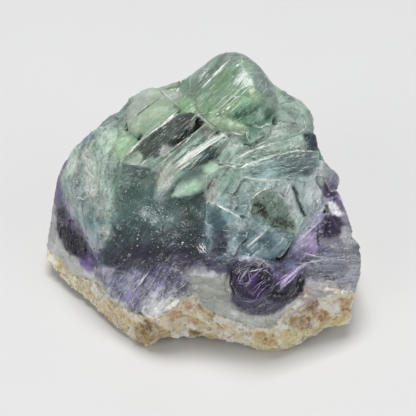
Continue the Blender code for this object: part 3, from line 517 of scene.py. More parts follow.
block_normal = {}
for k, name in enumerate(names):
    mine = (owner == k) & ((seen > 0.5) | (name not in LOOKS))
    if mine.sum() < 5:
        mine = owner == k
    block_normal[name] = unit(no[mine].sum(axis=0)) if mine.any() else np.array((0, -0.6, 0.8))


def lie_of(name, angle):
    """Directions along and across the growth lines that show at this angle in the reference view."""
    n = block_normal[name]
    way = RIGHT * math.cos(math.radians(angle)) + UP * math.sin(math.radians(angle))
    slope = FORWARD @ n
    if abs(slope) > 0.15:
        way = way - FORWARD * (way @ n) / slope
    else:
        way = way - n * (way @ n)
    way = unit(way)
    return way, unit(np.cross(n, way))


total_share = np.zeros(count)
mix_tint = np.zeros((count, 3))
mix = np.zeros((count, 4))
mix_forms = np.zeros((count, 3))
rounding = np.zeros(count)
for k, name in enumerate(names):
    w = share[:, k]
    if not (w > 1e-4).any():
        continue
    if name in LOOKS:
        top, low, a, b, c, angle, d = LOOKS[name]
        s = (co - BLOCKS[name].mean(axis=0)) @ UP
        mine = owner == k
        if mine.any():
            lo, hi = np.percentile(s[mine], [5, 95])
        else:
            lo, hi = -5, 5
        t = smooth(s, lo, hi)[:, None]
        colour = linear(low) * (1 - t) + linear(top) * t
        values = (a, b, c, d)
    else:
        rnd = np.random.default_rng(k + 3)
        if name.startswith("crust"):
            colour = zone_tint
            values = (0.3, 0.1, 0.0, 0.1)
        else:
            colour = zone_at(co[:, 2] + wander + rnd.uniform(-4, 4))[0] * rnd.uniform(0.8, 1.2)
            values = (rnd.uniform(0.2, 0.7), rnd.uniform(0.2, 0.5), rnd.uniform(0.1, 0.45), CLEAR_BACK.get(name, rnd.uniform(0.15, 0.35)))
        angle = rnd.uniform(-10, 70)
    mix_tint += w[:, None] * colour
    mix += w[:, None] * np.array(values)
    mix_forms += w[:, None] * np.array(FORMS.get(name, (values[2] * 0.6, 0.7, 0.5)))
    total_share += w
    mine = owner == k
    along[mine], across[mine] = lie_of(name, angle)
    rounding[mine] = ROUND.get(name, 0.12)
own = total_share > 1e-3
part = np.maximum(total_share, 1e-6)
tint[own] = (mix_tint / part[:, None])[own]
veil[own], speck[own], streak[own], clear[own] = (mix / part[:, None])[own].T
forms[own] = (mix_forms / part[:, None])[own]
crusty = np.zeros(count)
for k, name in enumerate(names):
    if name.startswith("crust"):
        crusty += share[:, k]
crusty = np.where(own, crusty / part, 0)
del share, mix, mix_forms, mix_tint

# ---------------------------------------------------------------- marks that the view shows: (u, v, half length, half width, angle, colour, strength)
MARKS = [
    # left rim and flank
    (78, 243, 19, 11, -60, (38, 30, 52), 0.95), (88, 267, 10, 6, -40, (84, 58, 128), 0.85), (64, 163, 9, 4, 60, (88, 76, 118), 0.8),
    (57.5, 190, 10, 3.5, 80, (84, 64, 122), 0.8), (59, 217, 8, 5, -80, (74, 66, 98), 0.7), (55, 238, 18, 4.5, -68, (168, 172, 168), 0.85),
    (68, 256, 14, 3.5, -45, (224, 222, 216), 0.85), (92, 278, 14, 3.5, -42, (228, 226, 222), 0.85), (112, 296, 14, 3.5, -45, (228, 224, 220), 0.85),
    (129, 311, 10, 3.5, -42, (226, 222, 216), 0.85), (89, 221, 9, 6, 30, (92, 120, 126), 0.7), (106, 231, 6, 6, 0, (160, 176, 168), 0.4),
    (76, 172, 12, 5, 70, (176, 190, 180), 0.6), (95, 180, 18, 5, 80, (172, 192, 172), 0.5), (86, 139, 9, 4, 25, (104, 124, 136), 0.8),
    (70, 205, 12, 4, -75, (165, 160, 178), 0.5), (86, 249, 8, 4, -40, (150, 135, 165), 0.5),
    # window, block, cube; the bright greens at the window (122, 147) and the cube (186, 102) are painted glow
    (122, 147, 11, 8, 60, (142, 190, 136), 0.6), (132, 115, 8, 5, 70, (138, 164, 144), 0.5), (152, 112, 14, 9, 42, (180, 206, 164), 0.5),
    (138, 138, 8, 4, 42, (80, 116, 92), 0.8), (186, 102, 8, 6, 0, (126, 190, 120), 0.8), (181, 90, 5, 4, 0, (96, 124, 104), 0.5),
    # crown; the greens at (223, 83) and the yellow-green spot at (252.5, 92) are painted glow
    (223, 83, 16, 6, 44, (120, 166, 116), 0.6), (242, 77, 9, 5, 55, (186, 208, 190), 0.75), (252.5, 92, 4.5, 3, 60, (176, 222, 136), 0.9),
    (219, 114, 12, 5, 30, (156, 204, 144), 0.7), (233, 128, 13, 3.5, -12, (178, 222, 162), 0.8), (264, 80, 13, 6, -55, (108, 132, 124), 0.6),
    (257, 108, 8, 6, 30, (78, 112, 90), 0.7), (268, 117, 6, 5, 30, (74, 106, 86), 0.7), (234, 56, 10, 3, 0, (122, 146, 130), 0.5),
    (205, 76, 9, 4, 45, (104, 130, 116), 0.5), (240, 110, 10, 5, 40, (100, 135, 104), 0.6), (203, 97, 6, 5, 60, (100, 135, 105), 0.5),
    # slabs; the near-black mark at (185, 133) is painted shadow under the slab edge, the white ones at (189, 156) and
    # (211, 142) painted glints, the mint one at (211, 168) a painted glow
    (185, 133, 11, 5, 46, (20, 40, 38), 0.95), (172, 142, 9, 4, 44, (74, 76, 70), 0.5), (162, 150, 4, 3, 30, (176, 188, 178), 0.7),
    (135, 160, 8, 3, 20, (128, 152, 128), 0.6), (189, 156, 16, 3.5, 42, (238, 246, 228), 0.9), (211, 142, 12, 3, 40, (205, 222, 204), 0.8),
    (166, 180, 14, 7, 62, (196, 208, 190), 0.8), (205, 151, 12, 2.6, 41, (50, 78, 74), 0.9), (183, 168, 12, 2.4, 41, (104, 134, 124), 0.6),
    (211, 168, 8, 5, 30, (178, 232, 188), 0.9), (191, 186, 14, 7, 22, (140, 190, 150), 0.5), (178, 198, 8, 4, 20, (80, 108, 100), 0.6),
    # big dark face
    (145, 214, 6, 4, 10, (158, 176, 172), 0.45), (154, 220, 5, 4, 40, (150, 170, 168), 0.35), (171, 219, 5, 3, 30, (140, 162, 160), 0.3),
    (199, 213, 6, 5, 0, (128, 146, 146), 0.4), (196, 228, 6, 8, 0, (46, 56, 58), 0.5),
    (150, 250, 26, 8, 0, (56, 54, 66), 0.4), (118, 180, 8, 12, 0, (92, 118, 104), 0.4), (186, 258, 12, 4, 0, (52, 44, 62), 0.6),
    (128, 215, 9, 14, 0, (70, 90, 88), 0.4), (160, 192, 12, 10, 0, (66, 84, 82), 0.4),
    # right half; the near-black mark at (325.5, 209) is painted shade in the cavity
    (263, 206, 11, 6, -30, (30, 34, 32), 0.9), (277, 224, 11, 5, -35, (50, 56, 54), 0.7), (296, 191, 8, 2.2, -65, (60, 60, 66), 0.9),
    (301, 208, 9, 2.2, -70, (54, 54, 62), 0.9), (220, 228, 9, 12, -10, (58, 88, 98), 0.7), (221, 248, 7, 9, 0, (70, 66, 92), 0.5),
    (267, 243, 9, 6, 20, (74, 104, 112), 0.6), (240, 238, 5, 8, 30, (58, 80, 88), 0.6), (235, 250, 6, 5, 20, (150, 160, 170), 0.5),
    (244, 228, 12, 3, -30, (165, 182, 184), 0.6), (232, 200, 8, 5, 40, (150, 168, 164), 0.5), (229, 183, 8, 7, 0, (92, 124, 108), 0.5),
    (312, 140, 7, 5, 40, (44, 56, 66), 0.6), (300, 118, 12, 6, 10, (150, 182, 160), 0.4), (288, 108, 8, 5, 0, (130, 168, 142), 0.5),
    (306, 241, 12, 6, 45, (140, 114, 176), 0.6), (325.5, 209, 5.5, 2.6, 75, (26, 20, 30), 0.95), (331, 222, 9, 8, 30, (60, 46, 76), 0.8),
    (318, 238, 9, 2, 85, (40, 34, 48), 0.85), (345, 232, 8, 5, -40, (158, 156, 158), 0.6), (333, 206, 7, 3, -30, (226, 222, 226), 0.8),
    (336, 197, 5, 4, -50, (96, 76, 122), 0.7), (334, 181, 5, 6, 0, (108, 98, 136), 0.6), (322, 171, 4, 8, 0, (168, 178, 180), 0.5),
    (322, 250, 10, 3, -10, (90, 70, 140), 0.6), (284, 252, 8, 4, 20, (86, 80, 104), 0.6),
    # boss, shelf and what lies round them
    (242, 276, 9, 12, 60, (30, 22, 46), 0.85), (262, 283, 8, 9, 30, (62, 28, 96), 0.8), (253, 299, 8, 5, -10, (84, 58, 126), 0.7),
    (250, 311, 18, 3.5, -8, (96, 92, 116), 0.8), (236, 300, 7, 5, -50, (84, 80, 104), 0.7), (270, 268, 6, 3, -20, (132, 126, 160), 0.6),
    (292, 273, 13, 3.2, 40, (158, 134, 196), 0.85), (284, 284, 12, 4, 38, (48, 42, 60), 0.7), (302, 282, 5, 5, 0, (40, 38, 52), 0.8),
    (280, 297, 14, 4, 32, (60, 52, 78), 0.7), (296, 262, 10, 4, 25, (84, 76, 108), 0.5), (240, 259, 9, 3, -15, (120, 122, 144), 0.4),
    (335, 270, 24, 6, 0, (116, 116, 134), 0.4), (340, 284, 16, 4, 0, (160, 156, 162), 0.5), (318, 288, 12, 4, 5, (150, 138, 150), 0.5),
    (185, 307, 9, 4, -25, (166, 140, 132), 0.7), (166, 308, 12, 4, -10, (212, 208, 204), 0.7), (186, 286, 7, 5, 0, (170, 168, 170), 0.5),
    (215, 288, 14, 10, 0, (166, 166, 156), 0.4), (170, 270, 14, 4, 10, (84, 74, 116), 0.6), (150, 282, 10, 6, 40, (120, 112, 150), 0.4),
    (120, 282, 6, 8, 55, (98, 96, 132), 0.4), (128, 296, 10, 4, 55, (124, 108, 160), 0.5), (176, 290, 10, 5, 10, (150, 150, 160), 0.5),
    (310, 303, 9, 5, 20, (156, 124, 116), 0.7), (300, 312, 10, 5, 40, (190, 170, 150), 0.4),
]
# frosty patches: (u, v, half length, half width, angle, strength)
FROST = [
    (144, 212, 6, 5, 10, 1.0), (156, 212, 10, 8, 40, 0.6), (176, 268, 3, 4, 60, 0.9), (181, 272, 3, 2, 0, 0.9), (156, 296, 6, 2.5, 0, 1.0), (62, 222, 7, 3, -60, 0.5), (74, 193, 6, 4, 0, 0.7), (118, 227, 3, 4, 60, 0.6), (128, 255, 3, 2, 0, 0.9), (160, 230, 14, 6, 30, 0.5), (182, 224, 10, 8, 20, 0.5), (154, 220, 6, 4, 40, 0.8), (171, 219, 6, 4, 30, 0.7), (187, 210, 10, 6, 20, 0.5), (202, 249, 7, 4, -35, 0.7),
    (199, 214, 6, 5, 0, 0.7), (170, 236, 16, 6, 20, 0.4), (158, 207, 14, 5, 30, 0.4), (242, 77, 9, 6, 55, 0.9), (236, 97, 5, 5, 0, 0.4),
    (162, 150, 6, 4, 30, 0.9), (166, 184, 13, 7, 62, 1.0), (152, 157, 6, 3, 40, 0.5), (106, 231, 6, 6, 0, 0.5), (205, 73, 10, 3, 45, 0.7), (262, 248, 12, 6, 20, 0.4), (135, 176, 14, 6, 20, 0.35), (84, 160, 12, 10, 70, 0.5),
    (98, 205, 8, 16, 10, 0.5), (76, 190, 6, 14, 10, 0.5), (228, 140, 10, 5, -30, 0.6), (262, 132, 12, 4, 20, 0.6), (280, 126, 12, 4, 20, 0.5),
    (300, 146, 10, 4, 10, 0.6), (246, 162, 8, 5, 30, 0.6), (212, 176, 6, 10, -10, 0.5), (247, 196, 5, 10, 0, 0.5), (238, 226, 12, 4, -30, 0.6),
    (236, 249, 6, 6, 20, 0.7), (282, 184, 20, 4, -5, 0.5), (309, 198, 6, 14, 10, 0.5), (300, 232, 6, 8, 30, 0.6), (268, 250, 8, 3, 0, 0.5),
    (176, 298, 22, 8, -8, 0.9), (156, 306, 16, 7, -20, 1.0), (196, 282, 8, 5, 0, 0.4), (222, 262, 12, 4, -15, 0.3), (262, 264, 18, 4, -10, 0.6),
    (333, 206, 7, 4, -30, 1.0), (345, 236, 8, 6, -30, 0.7), (352, 240, 5, 5, 0, 0.8), (340, 276, 16, 5, -5, 0.5), (326, 262, 14, 5, 5, 0.4),
    (262, 318, 18, 5, -5, 0.6), (292, 303, 9, 6, 45, 0.5), (230, 310, 6, 8, 0, 0.4), (120, 288, 8, 5, 50, 0.4), (142, 300, 8, 6, 50, 0.7),
    (296, 266, 10, 5, 20, 0.4), (276, 276, 10, 6, 40, 0.4), (238, 268, 6, 5, 50, 0.5), (320, 172, 4, 9, 0, 0.6), (338, 184, 5, 8, 30, 0.5),
]
# outlined areas on the view: colour, strength, soft edge, rough edge, how far veils are held back, corners
PANES = [
    # left: rim, purple pocket, milky band
    ((38, 24, 64), 0.97, 2.2, 3.5, 0.7, [(57, 209), (61, 206), (66, 214), (72, 226), (82, 230), (86, 244), (90, 254), (84, 260), (74, 254), (64, 244), (57, 234), (53, 222)]),
    ((44, 32, 62), 0.8, 2.0, 5.0, 0.4, [(57, 209), (61, 206), (66, 214), (71, 224), (62, 230), (54, 222)]),
    ((12, 2, 32), 0.97, 2.5, 4.0, 0.95, [(64, 229), (78, 229), (85, 240), (88, 254), (82, 259), (74, 252), (64, 240)]),
    ((76, 50, 116), 0.8, 2.0, 3.5, 0.4, [(84, 256), (92, 252), (99, 252), (101, 262), (96, 268), (86, 266), (80, 262)]),
    ((134, 128, 146), 0.55, 2.5, 5.0, 0.1, [(66, 210), (70, 218), (80, 226), (90, 232), (100, 240), (102, 250), (94, 250), (84, 240), (74, 230), (66, 222)]),
    ((160, 162, 158), 0.9, 1.2, 2.0, 0.3, [(45, 206), (54, 201), (55.5, 212), (56, 226), (59, 238), (65, 250), (74, 262), (84, 270), (96, 277), (110, 288), (124, 300),
                                           (139, 312), (134, 317), (118, 306), (104, 292), (90, 283), (76, 274), (60, 263), (46, 252), (43, 240), (44, 222)]),
    ((104, 94, 122), 0.85, 1.5, 2.0, 0.5, [(58, 172), (60, 160), (66, 154), (69, 160), (65, 170)]),
    ((98, 78, 134), 0.8, 1.5, 1.5, 0.5, [(54, 202), (55, 190), (59, 187), (61, 194), (59, 202)]),
    ((104, 124, 136), 0.75, 2.5, 2.0, 0.4, [(75, 147), (79, 139), (92, 131), (101, 131), (96, 139), (84, 146)]),
    ((104, 132, 112), 0.75, 1.5, 3.0, 0.3, [(91, 143), (97, 141), (100, 150), (98, 156), (93, 152)]),
    ((112, 140, 118), 0.7, 1.5, 3.5, 0.3, [(95, 158), (101, 160), (105, 174), (104, 188), (99, 184), (96, 170)]),
    ((116, 138, 120), 0.6, 1.5, 3.5, 0.3, [(101, 184), (107, 186), (106, 196), (101, 193)]),
    ((92, 120, 122), 0.75, 2.0, 3.5, 0.3, [(82, 214), (92, 210), (102, 214), (102, 224), (92, 228), (84, 224)]),
    ((118, 136, 138), 0.7, 2.0, 3.5, 0.2, [(69, 182), (78, 176), (84, 184), (80, 200), (72, 202), (68, 194)]),
    ((190, 200, 182), 0.6, 2.0, 3.5, 0.0, [(83, 150), (92, 148), (95, 170), (96, 196), (88, 204), (85, 180)]),
    ((182, 196, 176), 0.5, 2.0, 3.5, 0.0, [(70, 162), (78, 154), (82, 166), (78, 176), (70, 174)]),
    ((160, 180, 158), 0.6, 2.5, 3.0, 0.1, [(98, 196), (110, 192), (113, 210), (108, 222), (98, 216)]),
    ((150, 160, 154), 0.6, 1.5, 4.0, 0.1, [(99, 228), (104, 223), (112, 227), (113, 238), (106, 241), (99, 237)]),
    ((84, 90, 90), 0.8, 1.0, 2.0, 0.4, [(99, 235), (104, 233), (107, 237), (102, 240)]),
    ((138, 164, 136), 0.55, 2.5, 3.0, 0.2, [(127, 118), (128, 106), (138, 94), (150, 88), (162, 92), (150, 104), (138, 114), (132, 126)]),
    ((62, 92, 68), 0.6, 1.5, 4.5, 0.5, [(232, 113), (240, 108), (247, 111), (250, 118), (242, 124), (234, 121)]),
    ((70, 98, 76), 0.55, 1.5, 4.5, 0.5, [(252, 101), (262, 103), (268, 112), (262, 121), (255, 115)]),
    ((78, 104, 84), 0.5, 1.5, 4.0, 0.4, [(246, 124), (256, 122), (264, 126), (254, 132), (246, 130)]),
    # the big dark face
    ((88, 112, 96), 0.7, 2.5, 3.0, 0.3, [(112, 168), (124, 164), (130, 176), (124, 196), (113, 198)]),
    ((96, 112, 106), 0.6, 2.5, 3.0, 0.2, [(124, 166), (150, 168), (156, 180), (150, 190), (130, 184)]),
    ((64, 82, 78), 0.6, 2.5, 6.0, 0.1, [(114, 196), (126, 186), (140, 184), (146, 196), (134, 206), (118, 208)]),
    ((66, 84, 80), 0.7, 2.0, 5.0, 0.2, [(124, 170), (146, 170), (152, 178), (130, 182)]),
    ((54, 66, 70), 0.6, 2.5, 6.0, 0.1, [(180, 212), (204, 206), (206, 240), (194, 244), (182, 232)]),
    ((92, 114, 114), 0.5, 2.0, 6.0, 0.0, [(146, 204), (168, 202), (184, 214), (176, 230), (156, 228)]),
    ((60, 76, 80), 0.5, 2.5, 6.0, 0.1, [(112, 224), (136, 220), (156, 232), (140, 244), (112, 244)]),
    ((60, 60, 70), 0.7, 2.5, 2.5, 0.5, [(102, 250), (130, 246), (170, 246), (200, 250), (206, 262), (190, 268), (150, 268), (130, 270), (104, 264)]),
    # window, left block, cube, ridge; the bright greens of the window and the cube are painted glow
    ((142, 182, 140), 0.75, 3.5, 3.0, 0.3, [(112, 140), (121, 135), (131, 134), (135, 142), (129, 151), (119, 160), (113, 157)]),
    ((158, 214, 150), 0.6, 4.0, 2.5, 0.4, [(120, 148), (128, 141), (132, 143), (127, 152), (120, 157)]),
    ((176, 200, 170), 0.75, 1.8, 1.2, 0.6, [(126, 108), (130, 98), (140, 90), (150, 87), (162, 89), (176, 104), (178, 112), (160, 127), (140, 141), (128, 128), (124, 118)]),
    ((158, 196, 148), 0.7, 4.0, 1.5, 0.5, [(150, 104), (168, 98), (176, 106), (160, 120), (142, 132), (134, 124)]),
    ((186, 200, 186), 0.6, 3.0, 1.5, 0.4, [(130, 104), (140, 92), (156, 89), (150, 100), (136, 114), (128, 118)]),
    ((112, 148, 118), 0.75, 1.6, 1.0, 0.5, [(170, 110), (177, 106), (177, 112), (164, 121), (150, 130), (138, 139), (133, 136), (146, 127), (160, 118)]),
    ((86, 122, 96), 0.8, 1.5, 1.0, 0.5, [(131, 134), (137, 132), (141, 138), (137, 145), (132, 142)]),
    ((142, 198, 136), 0.75, 2.2, 1.0, 0.6, [(179, 100), (186, 96), (196, 99), (197, 108), (188, 112), (179, 110)]),
    ((118, 146, 124), 0.75, 1.8, 1.5, 0.3, [(178, 90), (186, 80), (197, 80), (199, 94), (188, 97), (180, 98)]),
    ((190, 206, 190), 0.6, 1.6, 1.5, 0.2, [(160, 88), (176, 86), (180, 92), (177, 100), (168, 96)]),
    # crown; the yellow-green pane at (250-258, 84-98) is a painted glow
    ((122, 152, 130), 0.7, 2.5, 1.5, 0.3, [(194, 82), (204, 68), (214, 58), (226, 56), (214, 72), (202, 88)]),
    ((130, 180, 122), 0.75, 2.5, 1.5, 0.5, [(214, 92), (224, 76), (236, 70), (246, 66), (238, 76), (226, 90), (214, 104)]),
    ((124, 166, 126), 0.7, 2.5, 2.0, 0.4, [(198, 98), (208, 88), (216, 84), (214, 96), (204, 108), (197, 108)]),
    ((112, 134, 124), 0.6, 2.0, 1.5, 0.4, [(216, 98), (228, 86), (235, 80), (233, 90), (222, 100), (212, 108)]),
    ((142, 166, 152), 0.6, 2.0, 1.0, 0.4, [(212, 57), (222, 53), (240, 54), (252, 60), (246, 64), (232, 58), (218, 62)]),
    ((190, 206, 196), 0.7, 1.5, 1.5, 0.0, [(229, 58), (236, 56), (237, 60), (231, 63)]),
    ((216, 228, 218), 0.45, 1.2, 4.0, 0.0, [(235, 80), (240, 75), (246, 69), (249, 76), (247, 82), (241, 84), (237, 88)]),
    ((186, 218, 144), 0.75, 1.6, 1.2, 0.6, [(250, 92), (254, 84), (258, 90), (257, 98), (251, 98)]),
    ((138, 162, 150), 0.8, 2.5, 1.0, 0.7, [(250, 62), (256, 62), (268, 76), (276, 88), (279, 98), (275, 106), (266, 101), (258, 92), (252, 78)]),
    ((114, 140, 130), 0.6, 3.0, 1.5, 0.7, [(258, 78), (264, 78), (271, 92), (268, 98), (260, 90)]),
    ((176, 192, 182), 0.5, 1.2, 0.6, 0.6, [(262, 70), (270, 80), (277, 92), (279, 98), (276, 96), (268, 82)]),
    ((160, 210, 150), 0.8, 2.0, 2.0, 0.3, [(204, 118), (212, 111), (226, 106), (240, 100), (243, 104), (230, 113), (222, 120), (210, 122)]),
    ((92, 132, 108), 0.9, 2.0, 4.0, 0.1, [(231, 114), (243, 104), (256, 101), (270, 104), (277, 112), (272, 124), (256, 125), (240, 122), (230, 119)]),
    ((48, 82, 64), 0.85, 1.2, 3.5, 0.2, [(231, 119), (238, 112), (246, 110), (247, 116), (240, 123)]), ((54, 88, 70), 0.8, 1.0, 4.0, 0.2, [(248, 106), (254, 102), (258, 108), (252, 114)]), ((160, 186, 164), 0.6, 1.0, 4.0, 0.0, [(254, 112), (260, 108), (262, 116), (256, 120)]), ((150, 178, 156), 0.5, 1.0, 4.0, 0.0, [(262, 100), (270, 102), (272, 108), (264, 108)]),
    ((50, 84, 66), 0.85, 1.2, 3.5, 0.2, [(260, 116), (266, 108), (272, 112), (270, 120), (262, 120)]),
    ((184, 240, 170), 0.9, 1.6, 1.8, 0.2, [(205, 119), (226, 119), (246, 126), (245, 134), (226, 131), (210, 128)]),
    ((112, 158, 118), 0.7, 1.2, 1.5, 0.3, [(222, 124), (232, 124), (230, 128), (223, 127)]),
    ((88, 122, 98), 0.8, 1.2, 0.6, 0.5, [(196, 118), (201, 116), (206, 120), (205, 123), (198, 121)]),
    ((92, 132, 108), 0.85, 1.4, 1.0, 0.5, [(246, 128), (250, 124), (258, 128), (272, 126), (271, 132), (262, 140), (251, 144), (247, 137)]),
    # painted glow over the green window
    ((146, 196, 142), 0.55, 5.0, 3.0, 0.8, [(112, 140), (121, 134), (132, 133), (134, 142), (129, 152), (120, 161), (113, 158)]),
    # slabs; the near-black pane at (171-195, 127-145) is painted shade under the first slab, the white one at (180-195,
    # 151-165) a painted glint, the bright mint ones at (184-201, 181-191) and (203-219, 162-176) painted glow
    ((78, 88, 82), 0.9, 1.2, 1.5, 0.3, [(140, 145), (156, 132), (176, 116), (190, 112), (202, 117), (206, 123), (196, 131), (180, 146), (165, 158), (150, 166), (142, 160)]),
    ((66, 74, 66), 0.75, 1.6, 2.0, 0.5, [(134, 152), (146, 143), (160, 145), (158, 156), (142, 158)]),
    ((78, 78, 74), 0.7, 1.6, 2.0, 0.5, [(176, 118), (190, 112), (203, 118), (198, 127), (184, 126)]),
    ((18, 34, 32), 0.97, 1.0, 1.5, 0.9, [(171, 143), (178, 136), (183, 130), (188, 127), (195, 129), (191, 136), (184, 142), (177, 145)]),
    ((136, 156, 134), 0.85, 1.0, 1.0, 0.3, [(122, 163), (132, 153), (139, 150), (142, 156), (140, 164)]),
    ((112, 136, 124), 0.75, 1.2, 1.0, 0.3, [(141, 165), (148, 158), (160, 157), (162, 161), (152, 169)]),
    ((190, 194, 188), 0.8, 1.2, 2.5, 0.0, [(159, 150), (164, 144), (172, 147), (170, 154), (163, 156)]),
    ((128, 156, 140), 0.85, 1.2, 1.0, 0.2, [(160, 163), (172, 154), (190, 140), (204, 128), (214, 128), (216, 134), (200, 144), (186, 155), (172, 164), (164, 168)]),
    ((92, 92, 84), 0.85, 1.2, 2.0, 0.4, [(200, 130), (208, 125), (219, 131), (220, 135), (210, 138), (202, 137)]),
    ((156, 160, 144), 0.7, 1.2, 1.0, 0.2, [(163, 165), (172, 158), (180, 157), (174, 163), (166, 168)]),
    ((60, 84, 78), 0.85, 0.9, 0.8, 0.7, [(186, 148), (196, 141), (206, 136), (208, 139), (198, 144), (188, 150)]),
    ((150, 178, 156), 0.9, 1.0, 1.2, 0.0, [(174, 168), (182, 160), (192, 152), (202, 146), (212, 139), (223, 135), (227, 138), (214, 145), (205, 151), (197, 157), (188, 163), (180, 169)]),
    ((236, 246, 226), 0.85, 0.8, 1.0, 0.0, [(180, 163), (188, 155), (195, 151), (194, 155), (187, 160), (182, 165)]),
    ((170, 180, 160), 0.9, 1.1, 1.5, 0.2, [(157, 172), (163, 165), (173, 162), (178, 169), (172, 176), (173, 182), (168, 188), (158, 187), (155.5, 178)]),
    ((150, 176, 170), 0.6, 1.6, 2.5, 0.0, [(156, 190), (168, 188), (168, 197), (160, 201), (154, 196)]),
    ((54, 74, 70), 0.9, 1.0, 0.8, 0.7, [(181, 171), (190, 164), (200, 156), (210, 149), (218, 148), (220, 156), (210, 161), (198, 167), (186, 173)]),
    ((86, 112, 108), 0.7, 1.6, 1.5, 0.4, [(180, 174), (196, 168), (206, 170), (198, 178), (184, 182), (178, 180)]),
    ((74, 96, 88), 0.8, 2.0, 1.5, 0.5, [(172, 182), (180, 176), (186, 182), (180, 192), (172, 196)]),
    ((176, 222, 186), 0.9, 3.5, 3.0, 0.5, [(172, 193), (184, 184), (196, 179), (205, 182), (202, 190), (190, 196), (176, 198)]),
    ((172, 255, 178), 0.95, 3.0, 2.5, 0.6, [(184, 187), (194, 181), (201, 184), (198, 189), (188, 191)]),
    ((172, 255, 190), 0.95, 2.0, 2.5, 0.5, [(203, 167), (210, 162), (217, 162), (219, 170), (212, 176), (204, 173)]),
    ((72, 84, 80), 0.75, 1.6, 2.0, 0.4, [(178, 199), (190, 196), (204, 190), (206, 198), (194, 204), (180, 206)]),
    ((170, 174, 160), 0.7, 1.8, 2.0, 0.1, [(205, 180), (214, 180), (220, 178), (220, 196), (212, 206), (205, 200)]),
    ((116, 148, 126), 0.65, 1.5, 1.5, 0.1, [(221, 150), (231, 150), (233, 158), (228, 163), (220, 160)]),
    ((196, 216, 200), 0.5, 1.5, 2.0, 0.0, [(226, 138), (240, 137), (243, 146), (230, 149)]),
    ((124, 156, 134), 0.6, 1.5, 1.5, 0.1, [(236, 154), (244, 146), (256, 146), (250, 151), (240, 155)]),
    ((128, 160, 140), 0.55, 1.5, 2.0, 0.1, [(276, 138), (292, 134), (300, 140), (290, 148), (278, 150)]),
    ((110, 140, 124), 0.6, 1.5, 2.0, 0.1, [(252, 156), (270, 150), (276, 153), (258, 159)]),
    ((186, 206, 192), 0.5, 1.5, 2.0, 0.0, [(262, 128), (280, 126), (282, 134), (268, 140)]),
    ((176, 192, 184), 0.55, 1.5, 4.0, 0.0, [(196, 82), (205, 69), (213, 61), (216, 66), (207, 76), (200, 85)]),
    ((150, 180, 158), 0.85, 1.5, 2.5, 0.1, [(213, 141), (221, 134), (229, 135), (227, 143), (218, 147)]),
    # right half; the near-black pane at (322-331, 204-213) is painted shade in the cavity
    ((50, 64, 74), 0.85, 1.6, 1.0, 0.8, [(302, 134), (310, 131), (316, 136), (319, 150), (309, 150), (303, 144)]),
    ((112, 142, 140), 0.8, 1.6, 1.5, 0.2, [(242, 173), (252, 166), (266, 162), (290, 155), (300, 153), (312, 156), (304, 168), (290, 176), (268, 178), (250, 179)]),
    ((84, 108, 108), 0.6, 1.5, 2.5, 0.2, [(244, 174), (256, 170), (262, 176), (250, 179)]),
    ((190, 216, 200), 0.7, 1.2, 1.0, 0.0, [(242, 176), (254, 178), (270, 179), (284, 178), (280, 181), (262, 182), (248, 181)]),
    ((58, 76, 80), 0.7, 0.9, 0.6, 0.4, [(278, 174), (288, 171), (296, 171), (290, 174)]),
    ((100, 118, 128), 0.7, 2.0, 2.5, 0.3, [(298, 158), (312, 152), (320, 160), (316, 176), (308, 178), (300, 168)]),
    ((192, 212, 214), 0.85, 1.6, 1.0, 0.7, [(305, 178), (318, 167), (323, 180), (321, 200), (313, 212), (307, 204), (303, 190)]),
    ((192, 206, 202), 0.6, 1.6, 2.5, 0.0, [(278, 182), (290, 184), (296, 206), (298, 228), (290, 216), (282, 196)]),
    ((118, 138, 118), 0.9, 1.2, 2.5, 0.2, [(252, 200), (256, 194), (263, 190), (271, 188), (280, 195), (288, 206), (293, 220), (296, 234), (284, 232), (268, 224), (254, 214)]),
    ((40, 42, 38), 0.9, 1.5, 5.0, 0.3, [(253, 207), (260, 204), (268, 208), (272, 216), (266, 219), (258, 213)]),
    ((56, 64, 58), 0.8, 2.0, 6.0, 0.3, [(268, 218), (280, 216), (292, 222), (294, 230), (284, 230), (272, 226)]),
    ((70, 100, 108), 0.8, 2.5, 2.5, 0.4, [(211, 208), (222, 212), (228, 226), (222, 232), (212, 230)]),
    ((62, 56, 74), 0.75, 2.5, 5.0, 0.3, [(213, 232), (228, 230), (230, 250), (222, 258), (212, 254)]),
    ((164, 188, 190), 0.6, 2.0, 3.5, 0.0, [(229, 222), (240, 218), (246, 224), (238, 236), (238, 250), (230, 250), (228, 236)]),
    ((72, 94, 100), 0.75, 1.5, 2.0, 0.3, [(240, 230), (248, 224), (252, 234), (248, 246), (241, 244)]),
    ((104, 130, 140), 0.7, 2.0, 2.5, 0.3, [(256, 238), (266, 232), (282, 234), (284, 248), (268, 254), (256, 250)]),
    ((136, 120, 166), 0.85, 1.3, 1.5, 0.3, [(293, 246), (300, 240), (312, 230), (320, 222), (318, 240), (318, 250), (312, 257), (300, 256)]),
    ((164, 148, 194), 0.6, 1.5, 2.5, 0.3, [(297, 246), (308, 236), (314, 236), (311, 246), (301, 250)]),
    ((82, 62, 120), 0.6, 1.2, 1.0, 0.4, [(299, 251), (304, 247), (309, 255), (303, 256)]),
    ((54, 46, 68), 0.95, 3.0, 1.2, 1.0, [(320, 227), (324, 216), (332, 212), (341, 216), (345, 228), (341, 238), (330, 240), (321, 238)]),
    ((112, 106, 120), 0.6, 2.5, 1.5, 0.4, [(321, 240), (332, 237), (342, 233), (342, 244), (330, 250), (321, 248)]),
    ((12, 10, 14), 1.0, 0.8, 0.3, 1.0, [(322, 212), (327, 204.5), (330.5, 213)]),
    ((236, 230, 240), 0.95, 0.9, 0.6, 0.0, [(328, 205), (332, 200), (343, 213), (340, 216), (333, 213)]),
    ((150, 148, 154), 0.7, 2.0, 1.5, 0.2, [(342, 227), (348, 226), (354, 234), (357, 244), (348, 247), (342, 239)]),
